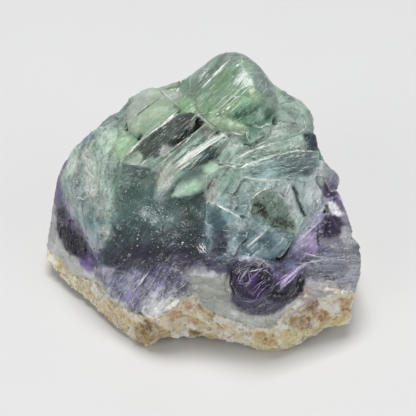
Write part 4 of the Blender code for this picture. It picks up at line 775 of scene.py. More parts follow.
    ((150, 160, 160), 0.7, 2.0, 2.0, 0.3, [(320, 160), (328, 158), (334, 168), (330, 176), (321, 174)]),
    ((110, 112, 120), 0.85, 1.8, 2.5, 0.2, [(329, 172), (337, 169), (344, 176), (343, 187), (335, 191), (327, 185)]),
    ((78, 68, 98), 0.8, 2.0, 2.5, 0.5, [(322, 188), (327, 182), (335, 184), (340, 190), (335, 199), (327, 199)]),
    ((86, 80, 104), 0.6, 1.5, 2.5, 0.3, [(330, 176), (335, 174), (337, 182), (331, 184)]),
    ((150, 150, 160), 0.45, 3.0, 3.0, 0.0, [(346, 236), (356, 240), (359, 262), (358, 290), (349, 292), (345, 268)]),
    ((192, 182, 180), 0.7, 2.5, 5.0, 0.0, [(310, 284), (326, 280), (346, 284), (354, 292), (346, 300), (326, 296), (312, 294)]),
    ((150, 124, 120), 0.7, 2.0, 4.0, 0.1, [(299, 288), (308, 286), (314, 294), (310, 304), (300, 304)]),
    # purple boss
    ((46, 36, 62), 0.95, 1.6, 2.0, 0.7, [(231, 272), (236, 262), (250, 259), (264, 262), (271, 268), (272, 280), (268, 292), (256, 300), (242, 298), (233, 288)]),
    ((66, 44, 96), 0.8, 1.8, 2.5, 0.7, [(250, 276), (262, 272), (270, 278), (270, 290), (260, 298), (250, 294)]),
    ((62, 42, 92), 0.75, 1.8, 2.5, 0.7, [(233, 276), (240, 272), (246, 282), (244, 292), (236, 290)]),
    ((24, 18, 30), 0.9, 1.2, 2.0, 0.8, [(258, 272), (268, 270), (272, 282), (266, 290), (258, 286)]),
    ((38, 32, 50), 0.92, 1.6, 2.0, 0.8, [(270, 290), (282, 284), (296, 282), (303, 290), (296, 300), (280, 303), (266, 300)]),
    ((76, 73, 92), 0.92, 1.6, 2.5, 0.6, [(230, 292), (242, 300), (262, 305), (280, 303), (297, 298), (290, 308), (272, 314), (248, 312), (232, 304)]),
    ((140, 140, 160), 0.35, 2.0, 4.0, 0.1, [(236, 260), (250, 256), (268, 260), (262, 265), (246, 263)]),
    ((96, 104, 140), 0.8, 1.4, 1.2, 0.6, [(284, 262), (292, 258), (300, 262), (293, 271), (285, 271)]),
    ((88, 72, 128), 0.7, 1.5, 1.5, 0.5, [(270, 270), (280, 270), (284, 277), (276, 281)]),
    ((18, 16, 26), 0.9, 1.3, 1.0, 0.9, [(296, 281), (301, 276), (304, 282), (303, 292), (297, 291)]),
    ((54, 80, 88), 0.7, 1.5, 4.0, 0.2, [(258, 240), (268, 236), (276, 242), (270, 250), (260, 250)]),
    ((140, 164, 166), 0.4, 2.0, 5.0, 0.0, [(276, 234), (288, 236), (286, 246), (278, 248)]),
    ((60, 84, 92), 0.6, 1.5, 4.0, 0.2, [(268, 254), (280, 252), (290, 250), (286, 260), (272, 262)]),
    # apron and quartz
    ((70, 66, 86), 0.92, 2.0, 3.5, 0.5, [(199, 258), (214, 257), (228, 262), (229, 274), (218, 275), (206, 270)]),
    ((186, 186, 192), 0.5, 1.5, 5.0, 0.0, [(202, 271), (208, 271), (220, 276), (226, 280), (214, 279), (204, 277)]),    ((168, 162, 184), 0.6, 2.0, 3.0, 0.0, [(96, 270), (106, 266), (114, 268), (112, 280), (104, 284)]),
    ((110, 116, 138), 0.7, 2.0, 3.0, 0.1, [(112, 276), (122, 270), (130, 274), (124, 288), (114, 288)]),
    ((76, 70, 100), 0.75, 1.5, 3.5, 0.2, [(110, 290), (120, 288), (124, 296), (118, 301), (111, 297)]),
    ((132, 120, 166), 0.7, 2.0, 2.5, 0.1, [(126, 296), (134, 290), (142, 296), (139, 308), (130, 310)]),
    ((206, 208, 212), 0.35, 2.5, 6.0, 0.0, [(141, 292), (150, 286), (162, 290), (160, 300), (148, 312), (141, 306)]),
    ((78, 72, 98), 0.8, 2.0, 3.0, 0.3, [(150, 268), (160, 262), (170, 266), (170, 280), (158, 281), (151, 276)]),
    ((84, 76, 96), 0.7, 2.0, 3.0, 0.3, [(170, 256), (186, 256), (192, 266), (188, 276), (174, 276)]),
    ((62, 64, 82), 0.7, 1.5, 3.5, 0.3, [(173, 284), (182, 280), (190, 284), (186, 292), (176, 292)]),
    ((158, 156, 172), 0.5, 2.0, 3.0, 0.1, [(128, 272), (136, 270), (134, 284), (126, 290)]),
    ((144, 148, 136), 0.9, 1.5, 1.5, 0.5, [(190, 290), (192, 280), (202, 275), (216, 278), (224, 286), (228, 298), (222, 306), (208, 304), (196, 300)]),
    ((166, 170, 162), 0.85, 1.5, 1.5, 0.3, [(208, 304), (222, 303), (232, 306), (246, 314), (262, 318), (276, 315), (282, 320), (264, 327), (244, 325), (226, 318), (214, 312)]),
    ((192, 190, 186), 0.75, 1.5, 2.5, 0.1, [(276, 314), (288, 304), (298, 298), (304, 302), (300, 312), (288, 320), (280, 322)]),
    ((206, 208, 204), 0.8, 2.0, 4.0, 0.0, [(138, 310), (156, 300), (180, 296), (190, 298), (186, 308), (172, 316), (156, 320), (144, 317)]),
]
# lines on the view, the white ones cleavage cracks painted bright as glints: colour, half width, rise in mm (below
# nought it is a groove), number of bright laths along it, corners
SNOW = (248, 250, 244)
LINES = [
    (SNOW, 1.0, 0.28, 5, [(201, 88), (212, 77), (229.6, 62)]), ((226, 240, 222), 0.9, 0.2, 5, [(206, 121), (222, 106), (236, 93), (247, 80)]),
    ((206, 224, 208), 0.8, 0.15, 2, [(208, 82), (224, 66)]), ((206, 224, 208), 0.8, 0.15, 2, [(197, 104), (212, 90)]),
    ((222, 236, 218), 0.8, 0.15, 3, [(222, 112), (236, 98), (244, 91)]), ((240, 246, 230), 1.1, 0.3, 4, [(196, 113), (203, 119), (212, 126), (230, 132.5), (243, 135)]),
    ((220, 236, 212), 0.8, 0.15, 2, [(206, 122), (214, 119), (226, 116)]), ((226, 238, 222), 0.9, 0.2, 3, [(230, 126), (246, 127)]),
    ((224, 236, 224), 0.9, 0.2, 3, [(248, 122), (260, 127), (272, 123)]),
    (SNOW, 1.0, 0.3, 6, [(120, 162.5), (140, 141.5), (156, 129.5), (178, 113.5)]), (SNOW, 1.4, 0.35, 6, [(160, 127), (170, 119.5), (178, 113.5)]),
    ((226, 234, 222), 0.9, 0.3, 4, [(150, 163), (170, 151), (188, 138), (206, 124)]), (SNOW, 1.2, 0.3, 7, [(172, 168), (186, 157), (198, 150), (213, 141), (226, 135.5)]),
    (SNOW, 1.0, 0.25, 5, [(176, 172), (190, 161), (204, 152)]), (SNOW, 1.2, 0.25, 6, [(180, 163), (193, 152.5), (206, 146)]),
    ((230, 238, 228), 0.8, 0.2, 2, [(222, 143), (231, 136), (238, 131)]), ((240, 246, 240), 1.0, 0.35, 5, [(235.7, 159), (250, 150.5), (267.8, 144.6), (280, 141.7)]),
    ((244, 248, 242), 1.0, 0.35, 5, [(240.5, 168), (258, 160), (279.4, 154.3), (297, 150.4), (318, 152)]),
    ((216, 228, 222), 0.8, 0.2, 3, [(262, 152), (280, 147), (300, 143)]), ((206, 220, 214), 0.8, 0.15, 2, [(262, 172), (284, 166), (306, 160)]),
    ((226, 236, 230), 1.0, 0.3, 4, [(243.5, 177.6), (256, 180.5), (267.8, 181.5), (283.3, 179.6), (295, 176)]),
    ((230, 238, 234), 0.9, 0.25, 4, [(206.5, 200), (219, 205), (229, 211), (238.6, 217.5), (245, 221.5)]),
    ((212, 224, 220), 0.8, 0.25, 2, [(244.4, 180.5), (249, 191), (252.2, 202), (250.3, 212), (246.4, 221.4)]),
    ((242, 246, 242), 0.9, 0.3, 4, [(252.2, 198), (262, 190.3), (271.7, 187.4)]), ((202, 212, 208), 0.8, 0.25, 2, [(271.7, 187.4), (278.5, 192.2), (289.2, 207.8), (297, 223.3), (296, 238.9)]),
    ((242, 246, 244), 0.9, 0.25, 4, [(245.4, 248.6), (254.2, 240.8), (264.9, 232.8)]), ((232, 238, 238), 0.8, 0.2, 3, [(249, 250.5), (258, 243)]),
    ((34, 36, 44), 1.7, -1.1, 0, [(292, 185.5), (296, 194.2), (298.9, 203.9), (304.7, 216)]), ((224, 232, 232), 1.0, 0.25, 4, [(288.5, 187), (293, 198), (296.5, 210), (299, 220)]),
    ((24, 20, 30), 1.3, -1.0, 0, [(317.6, 226), (318, 236), (319.3, 247)]), ((216, 208, 228), 0.9, 0.3, 4, [(296, 243.5), (308, 232), (320.5, 221)]),
    ((222, 216, 230), 0.9, 0.3, 4, [(298.5, 251), (312, 255.5), (326, 258.5)]), ((206, 196, 224), 0.8, 0.2, 3, [(300, 248), (312, 239)]),
    ((202, 202, 212), 0.8, 0.25, 3, [(300, 264), (330, 259), (357, 255)]), ((200, 198, 222), 0.8, 0.2, 3, [(238, 287), (243, 274), (252, 263)]),
    ((176, 158, 206), 0.8, 0.2, 3, [(243, 292), (250, 280), (262, 268)]), ((190, 180, 212), 0.8, 0.2, 3, [(252, 296), (262, 284), (270, 278)]),
    ((196, 190, 214), 0.8, 0.2, 3, [(240, 262), (250, 257), (262, 260), (269, 266)]), ((184, 174, 208), 0.8, 0.15, 2, [(256, 272), (266, 270), (272, 276)]),
    ((128, 86, 176), 0.8, 0.15, 2, [(247, 270), (252, 276), (250, 284)]), ((206, 188, 232), 2.2, 0.3, 12, [(281.4, 284), (292, 274.5), (305, 264)]),
    ((186, 168, 214), 1.6, 0.2, 6, [(278, 291), (290, 281), (301, 271)]), ((98, 122, 102), 0.7, -0.3, 0, [(136.5, 114.6), (148, 105.5), (159.7, 96.4)]),
    ((230, 240, 226), 0.8, 0.2, 3, [(160, 90), (168, 96.5), (176, 104)]), ((212, 224, 210), 0.8, 0.15, 2, [(130, 99.5), (140, 92), (150, 89.5)]),
    ((200, 220, 192), 0.8, 0.15, 2, [(117, 137), (113, 150), (117, 159)]), ((220, 232, 222), 1.0, 0.3, 4, [(226, 136), (219, 148), (213, 160), (207, 172)]),
    ((206, 218, 214), 1.0, 0.3, 4, [(207, 172), (206, 186), (207, 200)]), ((224, 236, 226), 0.9, 0.25, 3, [(213, 160), (228, 165), (240, 167)]),
    ((180, 196, 196), 0.9, 0.25, 3, [(207, 200), (207, 220), (206, 236)]), ((76, 102, 92), 0.9, -0.35, 0, [(175, 198), (188, 199.5), (203, 193)]),
    ((206, 218, 200), 0.8, 0.2, 3, [(120.7, 162), (131, 163), (146, 164.5)]), ((204, 182, 136), 0.8, 0.2, 3, [(357, 236), (359.5, 250), (360, 270), (358.5, 290)]),
    ((238, 234, 242), 1.2, 0.25, 5, [(330, 202), (336, 208), (342, 215.5)]), ((196, 212, 202), 0.9, 0.25, 3, [(282, 100), (294, 110), (304, 120)]),
    ((210, 222, 214), 0.9, 0.25, 3, [(272, 128), (286, 124), (300, 126), (312, 132)]), ((214, 226, 218), 0.9, 0.25, 3, [(244, 145), (262, 136), (280, 133)]),
    ((190, 206, 196), 0.8, 0.2, 2, [(96, 150), (100, 168), (106, 190), (108, 214)]), ((196, 208, 204), 0.8, 0.2, 2, [(78, 170), (84, 186), (92, 206)]),
    ((34, 30, 44), 0.9, -0.4, 0, [(231, 272), (230, 284), (234, 296)]), ((150, 160, 172), 0.8, 0.2, 3, [(211, 262), (224, 256), (240, 252), (250, 254)]),
    ((74, 100, 90), 0.5, -0.4, 0, [(176, 170.5), (190, 160.5), (204, 150.5), (215, 143)]), ((84, 112, 100), 0.5, -0.35, 0, [(184, 165.5), (196, 156.5), (210, 147.5)]),
    ((74, 100, 88), 0.5, -0.35, 0, [(206, 149.5), (216, 142.5), (227, 137.5)]), ((84, 112, 98), 0.7, -0.2, 0, [(172, 163), (190, 149), (208, 140)]),
    ((60, 86, 78), 0.8, -0.2, 0, [(204, 157), (214, 150), (222, 143)]),
    ((60, 84, 74), 0.7, -0.2, 0, [(244, 144), (250, 146.5), (258, 143)]),
]
# bright edges, white laths that are painted glints: colour, half width in pixels at the start and the end, corners
WHITE = (252, 253, 248)
RIBBONS = [
    (WHITE, 0.4, 0.55, [(120, 162), (128, 154), (138, 143), (146, 136)]), (WHITE, 0.6, 1.0, [(145, 137), (155, 130), (161, 125.5)]),
    (WHITE, 1.1, 1.7, [(159, 127.5), (168, 120), (176, 113)]), (WHITE, 0.6, 1.0, [(201, 88.5), (206, 84), (212, 78)]),
    (WHITE, 1.3, 0.8, [(211, 79), (218, 71.5), (222, 67), (229, 61)]), (WHITE, 1.2, 0.9, [(181, 163), (186, 157), (191, 153), (197, 149.5)]),
    (WHITE, 0.7, 0.6, [(183, 165.5), (192, 158), (200, 152), (206, 147), (213, 143), (223, 136.5)]), (WHITE, 0.8, 0.5, [(196, 151), (204, 146), (212, 140), (220, 136)]),
    ((236, 246, 226), 0.8, 0.8, [(174, 168), (180, 165), (186, 160)]), ((216, 230, 206), 0.6, 0.5, [(178, 170), (186, 166), (194, 160)]),
    ((214, 214, 202), 0.5, 0.6, [(158, 165), (164, 160.5), (171, 154.5), (178, 149)]), ((216, 214, 202), 0.7, 0.5, [(178, 149), (186, 142), (193, 135), (200, 128.5), (206, 123.5)]),
    ((190, 205, 192), 0.5, 0.5, [(190, 122), (194, 117), (198, 113)]), ((206, 216, 200), 0.5, 0.4, [(120, 163), (128, 164.5), (138, 164.5), (141, 164.5)]),
    ((236, 240, 230), 0.7, 0.5, [(141, 165), (144, 162), (148, 159)]), ((220, 232, 224), 0.5, 0.4, [(191, 166), (196, 161), (203, 154)]),
    ((200, 214, 208), 0.45, 0.4, [(201, 161), (205, 157), (209, 153)]), ((190, 212, 206), 0.4, 0.4, [(180, 156), (186, 151), (192, 147)]),
    ((186, 206, 196), 0.4, 0.4, [(184, 150), (192, 144), (198, 140)]), ((150, 162, 162), 0.35, 0.35, [(152, 142), (158, 136.5)]),
    ((214, 214, 206), 0.5, 0.4, [(163, 129), (167, 126)]), ((170, 170, 164), 0.35, 0.3, [(180, 122), (186, 118)]), ((180, 178, 172), 0.35, 0.3, [(183, 125), (190, 119)]),
    ((204, 208, 202), 0.4, 0.3, [(172, 139), (178, 135)]), ((196, 198, 192), 0.4, 0.3, [(196, 127), (202, 122)]), ((206, 206, 200), 0.4, 0.3, [(204, 133), (208, 131)]),
    ((150, 166, 160), 0.4, 0.3, [(122, 177), (132, 170)]), ((160, 170, 168), 0.4, 0.3, [(150, 173), (157, 167)]), ((170, 186, 184), 0.4, 0.4, [(150, 201), (160, 196), (168, 191)]),
    ((210, 222, 218), 0.6, 0.4, [(158, 197), (163, 194), (168, 190.5)]),
    (WHITE, 1.3, 0.8, [(199, 244.5), (202.5, 248), (206, 253)]), ((244, 244, 250), 0.9, 0.5, [(202, 243.5), (205, 247.5), (207, 251)]), ((232, 232, 240), 0.6, 0.5, [(197.5, 248), (200, 251), (203, 253)]),
    # crown
    ((226, 236, 226), 0.5, 0.4, [(208, 90), (212, 87), (216, 84)]), ((224, 232, 226), 0.8, 0.6, [(201, 77), (206, 72)]), ((224, 234, 224), 0.6, 0.5, [(212, 76), (216, 72)]),
    ((208, 228, 210), 0.5, 0.4, [(214, 109), (218, 104), (224, 98), (231, 92.5)]), ((236, 246, 232), 0.9, 0.9, [(226, 110), (231, 106)]),
    ((236, 246, 232), 0.8, 0.8, [(216, 114.5), (219, 113.5)]), ((230, 242, 226), 0.6, 0.5, [(221, 113), (224.5, 111)]), ((200, 232, 184), 0.5, 0.5, [(229, 113), (236, 107), (241, 102.5)]),
    ((232, 242, 236), 0.6, 0.5, [(238, 91), (244, 87), (249, 84.5)]), ((226, 240, 232), 0.5, 0.4, [(240, 95.5), (245, 91), (249.5, 87)]), ((220, 234, 222), 0.6, 0.6, [(232, 96.5), (237, 97), (241, 96)]),
    ((220, 234, 236), 0.9, 0.7, [(236, 66.5), (239, 64)]), ((244, 250, 244), 0.55, 0.4, [(236, 87), (240, 81.5), (244.5, 76)]), ((236, 244, 238), 0.5, 0.4, [(239, 88), (243, 82.5), (247.5, 76)]),
    ((230, 240, 232), 0.4, 0.4, [(241.5, 88.5), (246, 82.5), (249, 77.5)]), ((240, 246, 240), 0.5, 0.4, [(237, 82), (241, 77), (245, 71)]), ((226, 234, 228), 0.5, 0.4, [(198, 83), (203, 77)]), ((220, 230, 224), 0.4, 0.4, [(204, 79), (209, 73)]), ((190, 220, 180), 0.5, 0.4, [(215, 119), (220, 116.5)]),
    (WHITE, 0.9, 0.7, [(230, 131), (236, 133.5), (243, 135)]), ((222, 234, 216), 0.5, 0.4, [(195, 118), (199, 114), (207, 113)]), ((214, 226, 212), 0.5, 0.5, [(208, 113), (214, 112)]),
    ((232, 240, 234), 0.5, 0.5, [(250, 123.5), (255, 127), (262, 127.5), (266, 123.5)]), (WHITE, 0.8, 0.5, [(265, 123.5), (272, 125.5)]), ((200, 222, 202), 0.5, 0.4, [(228, 122), (238, 126), (246, 127)]),
    ((206, 220, 206), 0.5, 0.5, [(246, 128), (247, 137), (251, 144)]), ((196, 214, 200), 0.4, 0.4, [(272, 128), (266, 137), (259, 142)]),
    # left block, cube
    ((214, 228, 210), 0.4, 0.4, [(133, 117), (142, 110), (152, 102), (158, 97)]), ((214, 226, 214), 0.35, 0.35, [(161, 91), (168, 96), (177, 105)]),
    ((218, 230, 214), 0.6, 0.5, [(137, 125), (141, 123)]), ((200, 216, 200), 0.4, 0.4, [(180, 93), (186, 98)]), ((206, 220, 204), 0.4, 0.4, [(186, 90), (192, 94)]),
    # right half
    ((240, 246, 238), 0.5, 0.5, [(252, 147.5), (258, 145), (264, 142), (270, 141)]), ((236, 242, 234), 0.5, 0.7, [(239, 156), (248, 152.5), (256, 149)]),
    (WHITE, 0.8, 0.5, [(256, 149), (266, 146), (276, 145)]), (WHITE, 0.7, 0.8, [(240, 168.5), (246, 165), (252, 163)]), ((214, 232, 216), 0.7, 0.7, [(252, 163), (262, 160), (276, 156)]),
    ((214, 226, 212), 0.6, 0.6, [(276, 156), (290, 152), (298, 151.5)]), ((232, 236, 234), 0.7, 0.5, [(300, 156), (306, 153)]), ((224, 232, 232), 0.6, 0.5, [(304, 168), (310, 166)]),
    ((206, 222, 208), 0.5, 0.5, [(222, 164), (232, 166.5), (239, 169)]), ((206, 220, 206), 0.6, 0.4, [(232, 165), (236, 160), (239, 157)]),
    ((216, 234, 222), 0.8, 0.5, [(244, 177.5), (256, 179), (268, 180), (282, 179)]), ((190, 214, 206), 0.5, 0.4, [(284, 178), (292, 174)]),
    ((240, 244, 240), 0.9, 0.7, [(215, 204), (224, 209), (230, 212.5)]), ((220, 228, 222), 0.6, 0.5, [(230, 212.5), (236, 215), (240, 217)]), ((206, 216, 210), 0.4, 0.4, [(250, 206), (248.5, 213), (244, 220)]),
    ((240, 244, 240), 0.6, 0.6, [(251.5, 200), (256, 194.5), (262, 191)]), ((240, 244, 240), 0.5, 0.9, [(262, 191), (267, 187.5), (272, 188)]), ((200, 212, 204), 0.4, 0.4, [(272, 188), (282, 196), (289, 206)]),
    ((244, 246, 244), 0.6, 0.9, [(246, 248), (251, 243.5), (256, 239), (264, 232.5)]), ((236, 240, 238), 0.7, 0.4, [(250, 250), (256, 244)]), ((206, 216, 214), 0.6, 0.6, [(288, 188), (293, 200), (297, 214)]),
    ((190, 206, 202), 0.5, 0.4, [(222, 230), (230, 231)]), ((196, 210, 208), 0.4, 0.4, [(230, 194), (236, 190), (240, 190)]), ((206, 216, 214), 0.6, 0.5, [(232, 198), (238, 196)]),
    ((206, 222, 214), 0.5, 0.4, [(249, 181), (243, 184), (238, 193)]), ((190, 206, 196), 0.4, 0.4, [(206, 180), (207, 192), (211, 204)]), ((200, 216, 206), 0.4, 0.4, [(240, 170), (244, 176)]),
    ((170, 190, 190), 0.4, 0.4, [(256, 252), (262, 246), (270, 242)]), ((150, 175, 178), 0.4, 0.4, [(268, 254), (276, 246), (284, 242)]),
    ((180, 198, 196), 0.4, 0.4, [(240, 226), (246, 232), (250, 240)]), ((160, 182, 184), 0.4, 0.3, [(232, 236), (238, 242), (246, 246)]),
    # apron, boss and wing
    ((176, 168, 196), 0.4, 0.3, [(235, 276), (241, 270), (250, 267)]), ((160, 148, 186), 0.4, 0.3, [(246, 290), (250, 280), (248, 270)]), ((170, 160, 192), 0.4, 0.3, [(234, 284), (244, 284), (254, 280)]),
    ((150, 140, 172), 0.35, 0.3, [(258, 300), (268, 296), (276, 290)]), ((170, 164, 186), 0.35, 0.3, [(238, 300), (250, 302), (262, 298)]),    ((232, 232, 240), 0.9, 0.6, [(136, 288), (141, 282), (146, 275), (149, 271)]), ((216, 216, 228), 0.6, 0.4, [(138, 284), (143, 277), (146, 272)]), ((220, 220, 232), 0.5, 0.4, [(132, 292), (137, 287)]),
    ((200, 198, 214), 0.5, 0.4, [(104, 280), (112, 272)]), ((196, 196, 212), 0.5, 0.4, [(116, 284), (126, 272)]), ((206, 206, 222), 0.5, 0.4, [(122, 292), (130, 282)]),
    ((180, 175, 205), 0.5, 0.4, [(236, 284), (240, 274), (246, 266)]), ((150, 120, 185), 0.4, 0.4, [(250, 292), (257, 285), (266, 279)]), ((206, 200, 220), 0.6, 0.4, [(248, 272), (256, 270), (264, 268)]),
    ((190, 175, 215), 0.4, 0.4, [(254, 302), (260, 292), (268, 285)]), ((205, 188, 228), 1.3, 1.0, [(281, 284), (288, 277.5), (296, 270.5), (303, 264.5)]),
    ((214, 200, 234), 0.5, 0.5, [(284, 286), (292, 279), (299, 272)]), ((170, 156, 206), 0.5, 0.4, [(279, 280), (286, 274)]), ((222, 214, 234), 0.5, 0.4, [(296, 243), (304, 236), (312, 229), (320, 221)]),
    ((206, 198, 220), 0.5, 0.4, [(320, 256), (328, 258)]), ((208, 200, 220), 0.6, 0.4, [(87, 250), (92, 249)]), ((196, 190, 206), 0.4, 0.3, [(318, 280), (325, 278)]),
]
# where neighbouring crystals have grown together without a step: (u, v, half length, half width, angle, strength)
MELT = [(123, 147, 17, 15, 0, 1.0), (190, 187, 22, 13, 25, 1.0), (211, 168, 12, 12, 0, 1.0), (139, 315, 9, 7, 0, 1.0), (216, 314, 14, 8, 0, 1.0),
        (134, 138, 8, 8, 0, 0.9), (126, 124, 8, 8, 0, 0.9), (223, 138, 8, 6, 40, 1.0), (322, 182, 8, 9, 0, 1.0), (216, 272, 14, 7, 0, 0.9)]
# swellings and hollows: (u, v) on the view, half length, half width in mm, angle, rise in mm
SCULPT = [(173, 89, 8, 6, 0, -1.5), (146, 92, 6, 3.0, 30, 0.4), (139, 315, 2.5, 1.5, -30, 0.7), (217, 314, 3.5, 1.5, -20, 0.8), (326.5, 210, 1.6, 1.2, 75, -0.9), (331, 224, 3, 3, 0, 0.7), (122, 147, 8, 7, 60, -0.9), (190, 187, 6, 3.5, 25, -0.5), (211, 168, 3.5, 3, 0, -0.3), (134, 160, 4, 2, 20, -0.5), (250, 277, 5.5, 5.5, 0, 0.7),
          (286, 290, 4, 3, 0, 0.4), (335, 180, 3, 3, 0, 0.5), (208, 270, 4.0, 2.5, 0, -0.6),
          (263, 207, 3, 2, -40, -0.5), (178, 138, 4, 1.6, 44, -0.8)]
LIFT = 8.0


def on_view(u, v, a, b, angle, seed, rough=0.35):
    """How far points are inside a rough-edged ellipse on the face that shows at u, v."""
    hit, _, _, dist = tree.ray_cast(eye, Vector(unit(sight(u, v))), 800)
    if hit is None:
        return None
    near = np.nonzero((np.abs(U - u) < a + b + 6) & (np.abs(V - v) < a + b + 6) & (seen > 0.02))[0]
    depth = (np.array(hit) - EYE) @ FORWARD
    r = math.radians(angle)
    du, dv = U[near] - u, -(V[near] - v)
    s = (du * math.cos(r) + dv * math.sin(r)) / a
    t = (-du * math.sin(r) + dv * math.cos(r)) / b
    edge = cloud(co[near], 0.35, 4, seed, 0.6) * rough
    w = 1 - smooth(np.sqrt(s * s + t * t) + edge, 0.5, 1.15)
    return near, w * seen[near] * (1 - smooth(np.abs(DEPTH[near] - depth), LIFT * 0.6, LIFT))




def traced(points, reach, rough, seed):
    """Seen points near a line or outline traced in the view, and their view places roughened by noise; to_line gives
    their distance to it in pixels and which are inside.
    """
    c = np.array(points, float)
    low, high = c.min(axis=0) - reach - 3, c.max(axis=0) + reach + 3
    near = np.nonzero((U > low[0]) & (U < high[0]) & (V > low[1]) & (V < high[1]) & (seen > 0.02))[0]
    p = np.stack([U[near], V[near]], axis=1)
    p += np.stack([cloud(co[near], 0.45 if rough < 4 else 1.1, 3, seed + i, 0.6) for i in range(2)], axis=1) * rough
    return c, near, p


def to_line(c, p, closed):
    dist = np.full(len(p), 1e9)
    inside = np.zeros(len(p), bool)
    for a, b in zip(c, np.roll(c, -1, axis=0)) if closed else zip(c[:-1], c[1:]):
        d = b - a
        f = np.clip(((p - a) @ d) / max(d @ d, 1e-9), 0, 1)
        dist = np.minimum(dist, np.linalg.norm(p - a - f[:, None] * d, axis=1))
        if closed and a[1] != b[1]:
            inside ^= ((a[1] > p[:, 1]) != (b[1] > p[:, 1])) & (p[:, 0] < (b[0] - a[0]) * (p[:, 1] - a[1]) / (b[1] - a[1]) + a[0])
    return dist, inside


def paint(near, w, colour, calm):
    goal = linear(colour)
    tint[near] = tint[near] * (1 - w[:, None]) + goal * w[:, None]
    grey = goal.mean()
    veil[near] *= 1 - w * calm
    speck[near] *= 1 - w * calm * 0.7
    clear[near] *= 1 - w * (0.6 if grey < 0.1 or grey > 0.5 else 0.15)


for u, v, a, b, angle, colour, strength in MARKS:
    found = on_view(u, v, a, b, angle, int(u * 7 + v))
    if found:
        paint(found[0], found[1] * strength, colour, 0.8 if sum(colour) < 260 else 0.3)
for colour, strength, soft, rough, calm, points in PANES:
    c, near, p = traced(points, soft, rough, int(points[0][0] * 5 + points[0][1]))
    dist, inside = to_line(c, p, True)
    paint(near, smooth(np.where(inside, dist, -dist), -soft, soft) * seen[near] * strength, colour, calm)
carve = np.zeros(count)
# the white lines are painted in as bright glints along the cracks
for colour, half, rise, strands, points in LINES:
    c, near, p = traced(points, half + 2, 0.5, int(points[0][0] * 3 + points[0][1]))
    dist, _ = to_line(c, p, False)
    wide = max(half, 1.1)
    broken = smooth(cloud(co[near], 0.3, 2, int(points[0][1])), -0.35, 0.1) if rise > 0 else 1.0
    w = (1 - smooth(dist, wide * 0.3, wide * 1.1)) * seen[near] * broken
    if rise < 0:
        carve[near] = np.minimum(carve[near], rise * w)
        paint(near, w * 0.95, colour, 0.95)
    else:
        carve[near] = np.maximum(carve[near], rise * 0.4 * w)
        paint(near, w * min(0.35, 0.05 + 0.05 * strands), colour, 0.0)
for u, v, a, b, angle, rise in SCULPT:
    hit, _, _, _ = tree.ray_cast(eye, Vector(unit(sight(u, v))), 800)
    if hit is None:
        hit = tree.find_nearest(Vector(at_y(u, v, 0.0)))[0]
    r = math.radians(angle)
    off = co - np.array(hit)
    x, y, z = off @ RIGHT, off @ UP, off @ FORWARD
    q = np.sqrt(((x * math.cos(r) + y * math.sin(r)) / a) ** 2 + ((-x * math.sin(r) + y * math.cos(r)) / b) ** 2 + (z / max(a, b)) ** 2)
    carve += rise * (1 - smooth(q, 0.15, 1.0))
frost = np.clip(cloud(co, 0.09, 3, 301) - 0.25, 0, 1) * 1.2 * (1 - seen)
for u, v, a, b, angle, strength in FROST:
    found = on_view(u, v, a, b, angle, int(u * 5 + v * 3), 0.6)
    if found:
        near, w = found
        frost[near] = np.maximum(frost[near], w * strength)

# ---------------------------------------------------------------- rounding and fine relief
for u, v, a, b, angle, strength in MELT:
    found = on_view(u, v, a, b, angle, int(u * 5 + v * 3), 0.2)
    if found:
        near, w = found
        rounding[near] = np.maximum(rounding[near], w * strength)
weight = skin.spread(rounding, 6)
for i in range(90):
    w = np.clip(weight * 1.0 if i < 36 else (weight - 0.45) * 1.8, 0, 1)
    if i < 8 or i % 2 == 0 or i >= 36:
        co += (skin.mean(co) - co) * w[:, None]
set_points(mesh, co)
_, no = mesh_arrays(mesh)

s = (co * across).sum(axis=1)
t = (co * along).sum(axis=1)
n_depth = (co * np.cross(along, across)).sum(axis=1)
offset = np.where(owner >= 0, owner, 0) * 3.7
warp = np.stack([cloud(co, 0.13, 3, 61 + i) for i in range(3)], axis=1)
lath_q = np.stack([t / 8.5 + warp[:, 0] * 0.4 + offset, s / 1.25 + warp[:, 1] * 0.6, n_depth / 6.0 + warp[:, 2] * 0.4], axis=1)
lath, lath_way, lath_edge = facets(lath_q, 71)
chip_q = np.stack([t / 4.8 + warp[:, 1] * 0.5 + offset, s / 3.2 + warp[:, 0] * 0.5, n_depth / 4.0 + warp[:, 2] * 0.4], axis=1)
chip, chip_way, chip_edge = facets(chip_q, 91)
crumb, crumb_way, crumb_edge = facets(np.stack([t / 1.7, s / 1.1, n_depth / 1.3], axis=1) + warp * 0.3, 111)
druse, druse_way, druse_edge = facets(co / 2.5 + warp * 0.35, 131)
grit, grit_way, grit_edge = facets(co / 1.1 + warp * 0.3, 151)
comb, comb_way, comb_edge = facets(co / 4.0 + warp * 0.35, 211)
plane, plane_way, plane_edge = facets(np.stack([t / 9.0 + offset, s / 6.0, n_depth / 7.0], axis=1) + warp * 0.35, 191)
plane_rise = (plane[:, 0] - 0.5) * 0.8 + (plane[:, 1] - 0.5) * plane_way[:, 1] * 1.9 + (plane[:, 2] - 0.5) * plane_way[:, 0] * 1.9
lath_rise = (lath[:, 0] - 0.5) * 0.7 + (lath[:, 1] - 0.5) * lath_way[:, 1] * 1.2 + (lath[:, 2] - 0.5) * lath_way[:, 0] * 0.5
chip_rise = (chip[:, 0] - 0.5) * 0.7 + (chip[:, 1] - 0.5) * chip_way[:, 1] * 1.5 + (chip[:, 2] - 0.5) * chip_way[:, 0] * 1.5
crumb_rise = (crumb[:, 0] - 0.5) * 0.5 + (crumb[:, 1] - 0.5) * crumb_way[:, 0] * 0.8 + (crumb[:, 2] - 0.5) * crumb_way[:, 1] * 0.8
stone_rise = lath_rise * forms[:, 0] * 0.55 + chip_rise * forms[:, 1] * 0.38 + crumb_rise * forms[:, 2] * 0.25
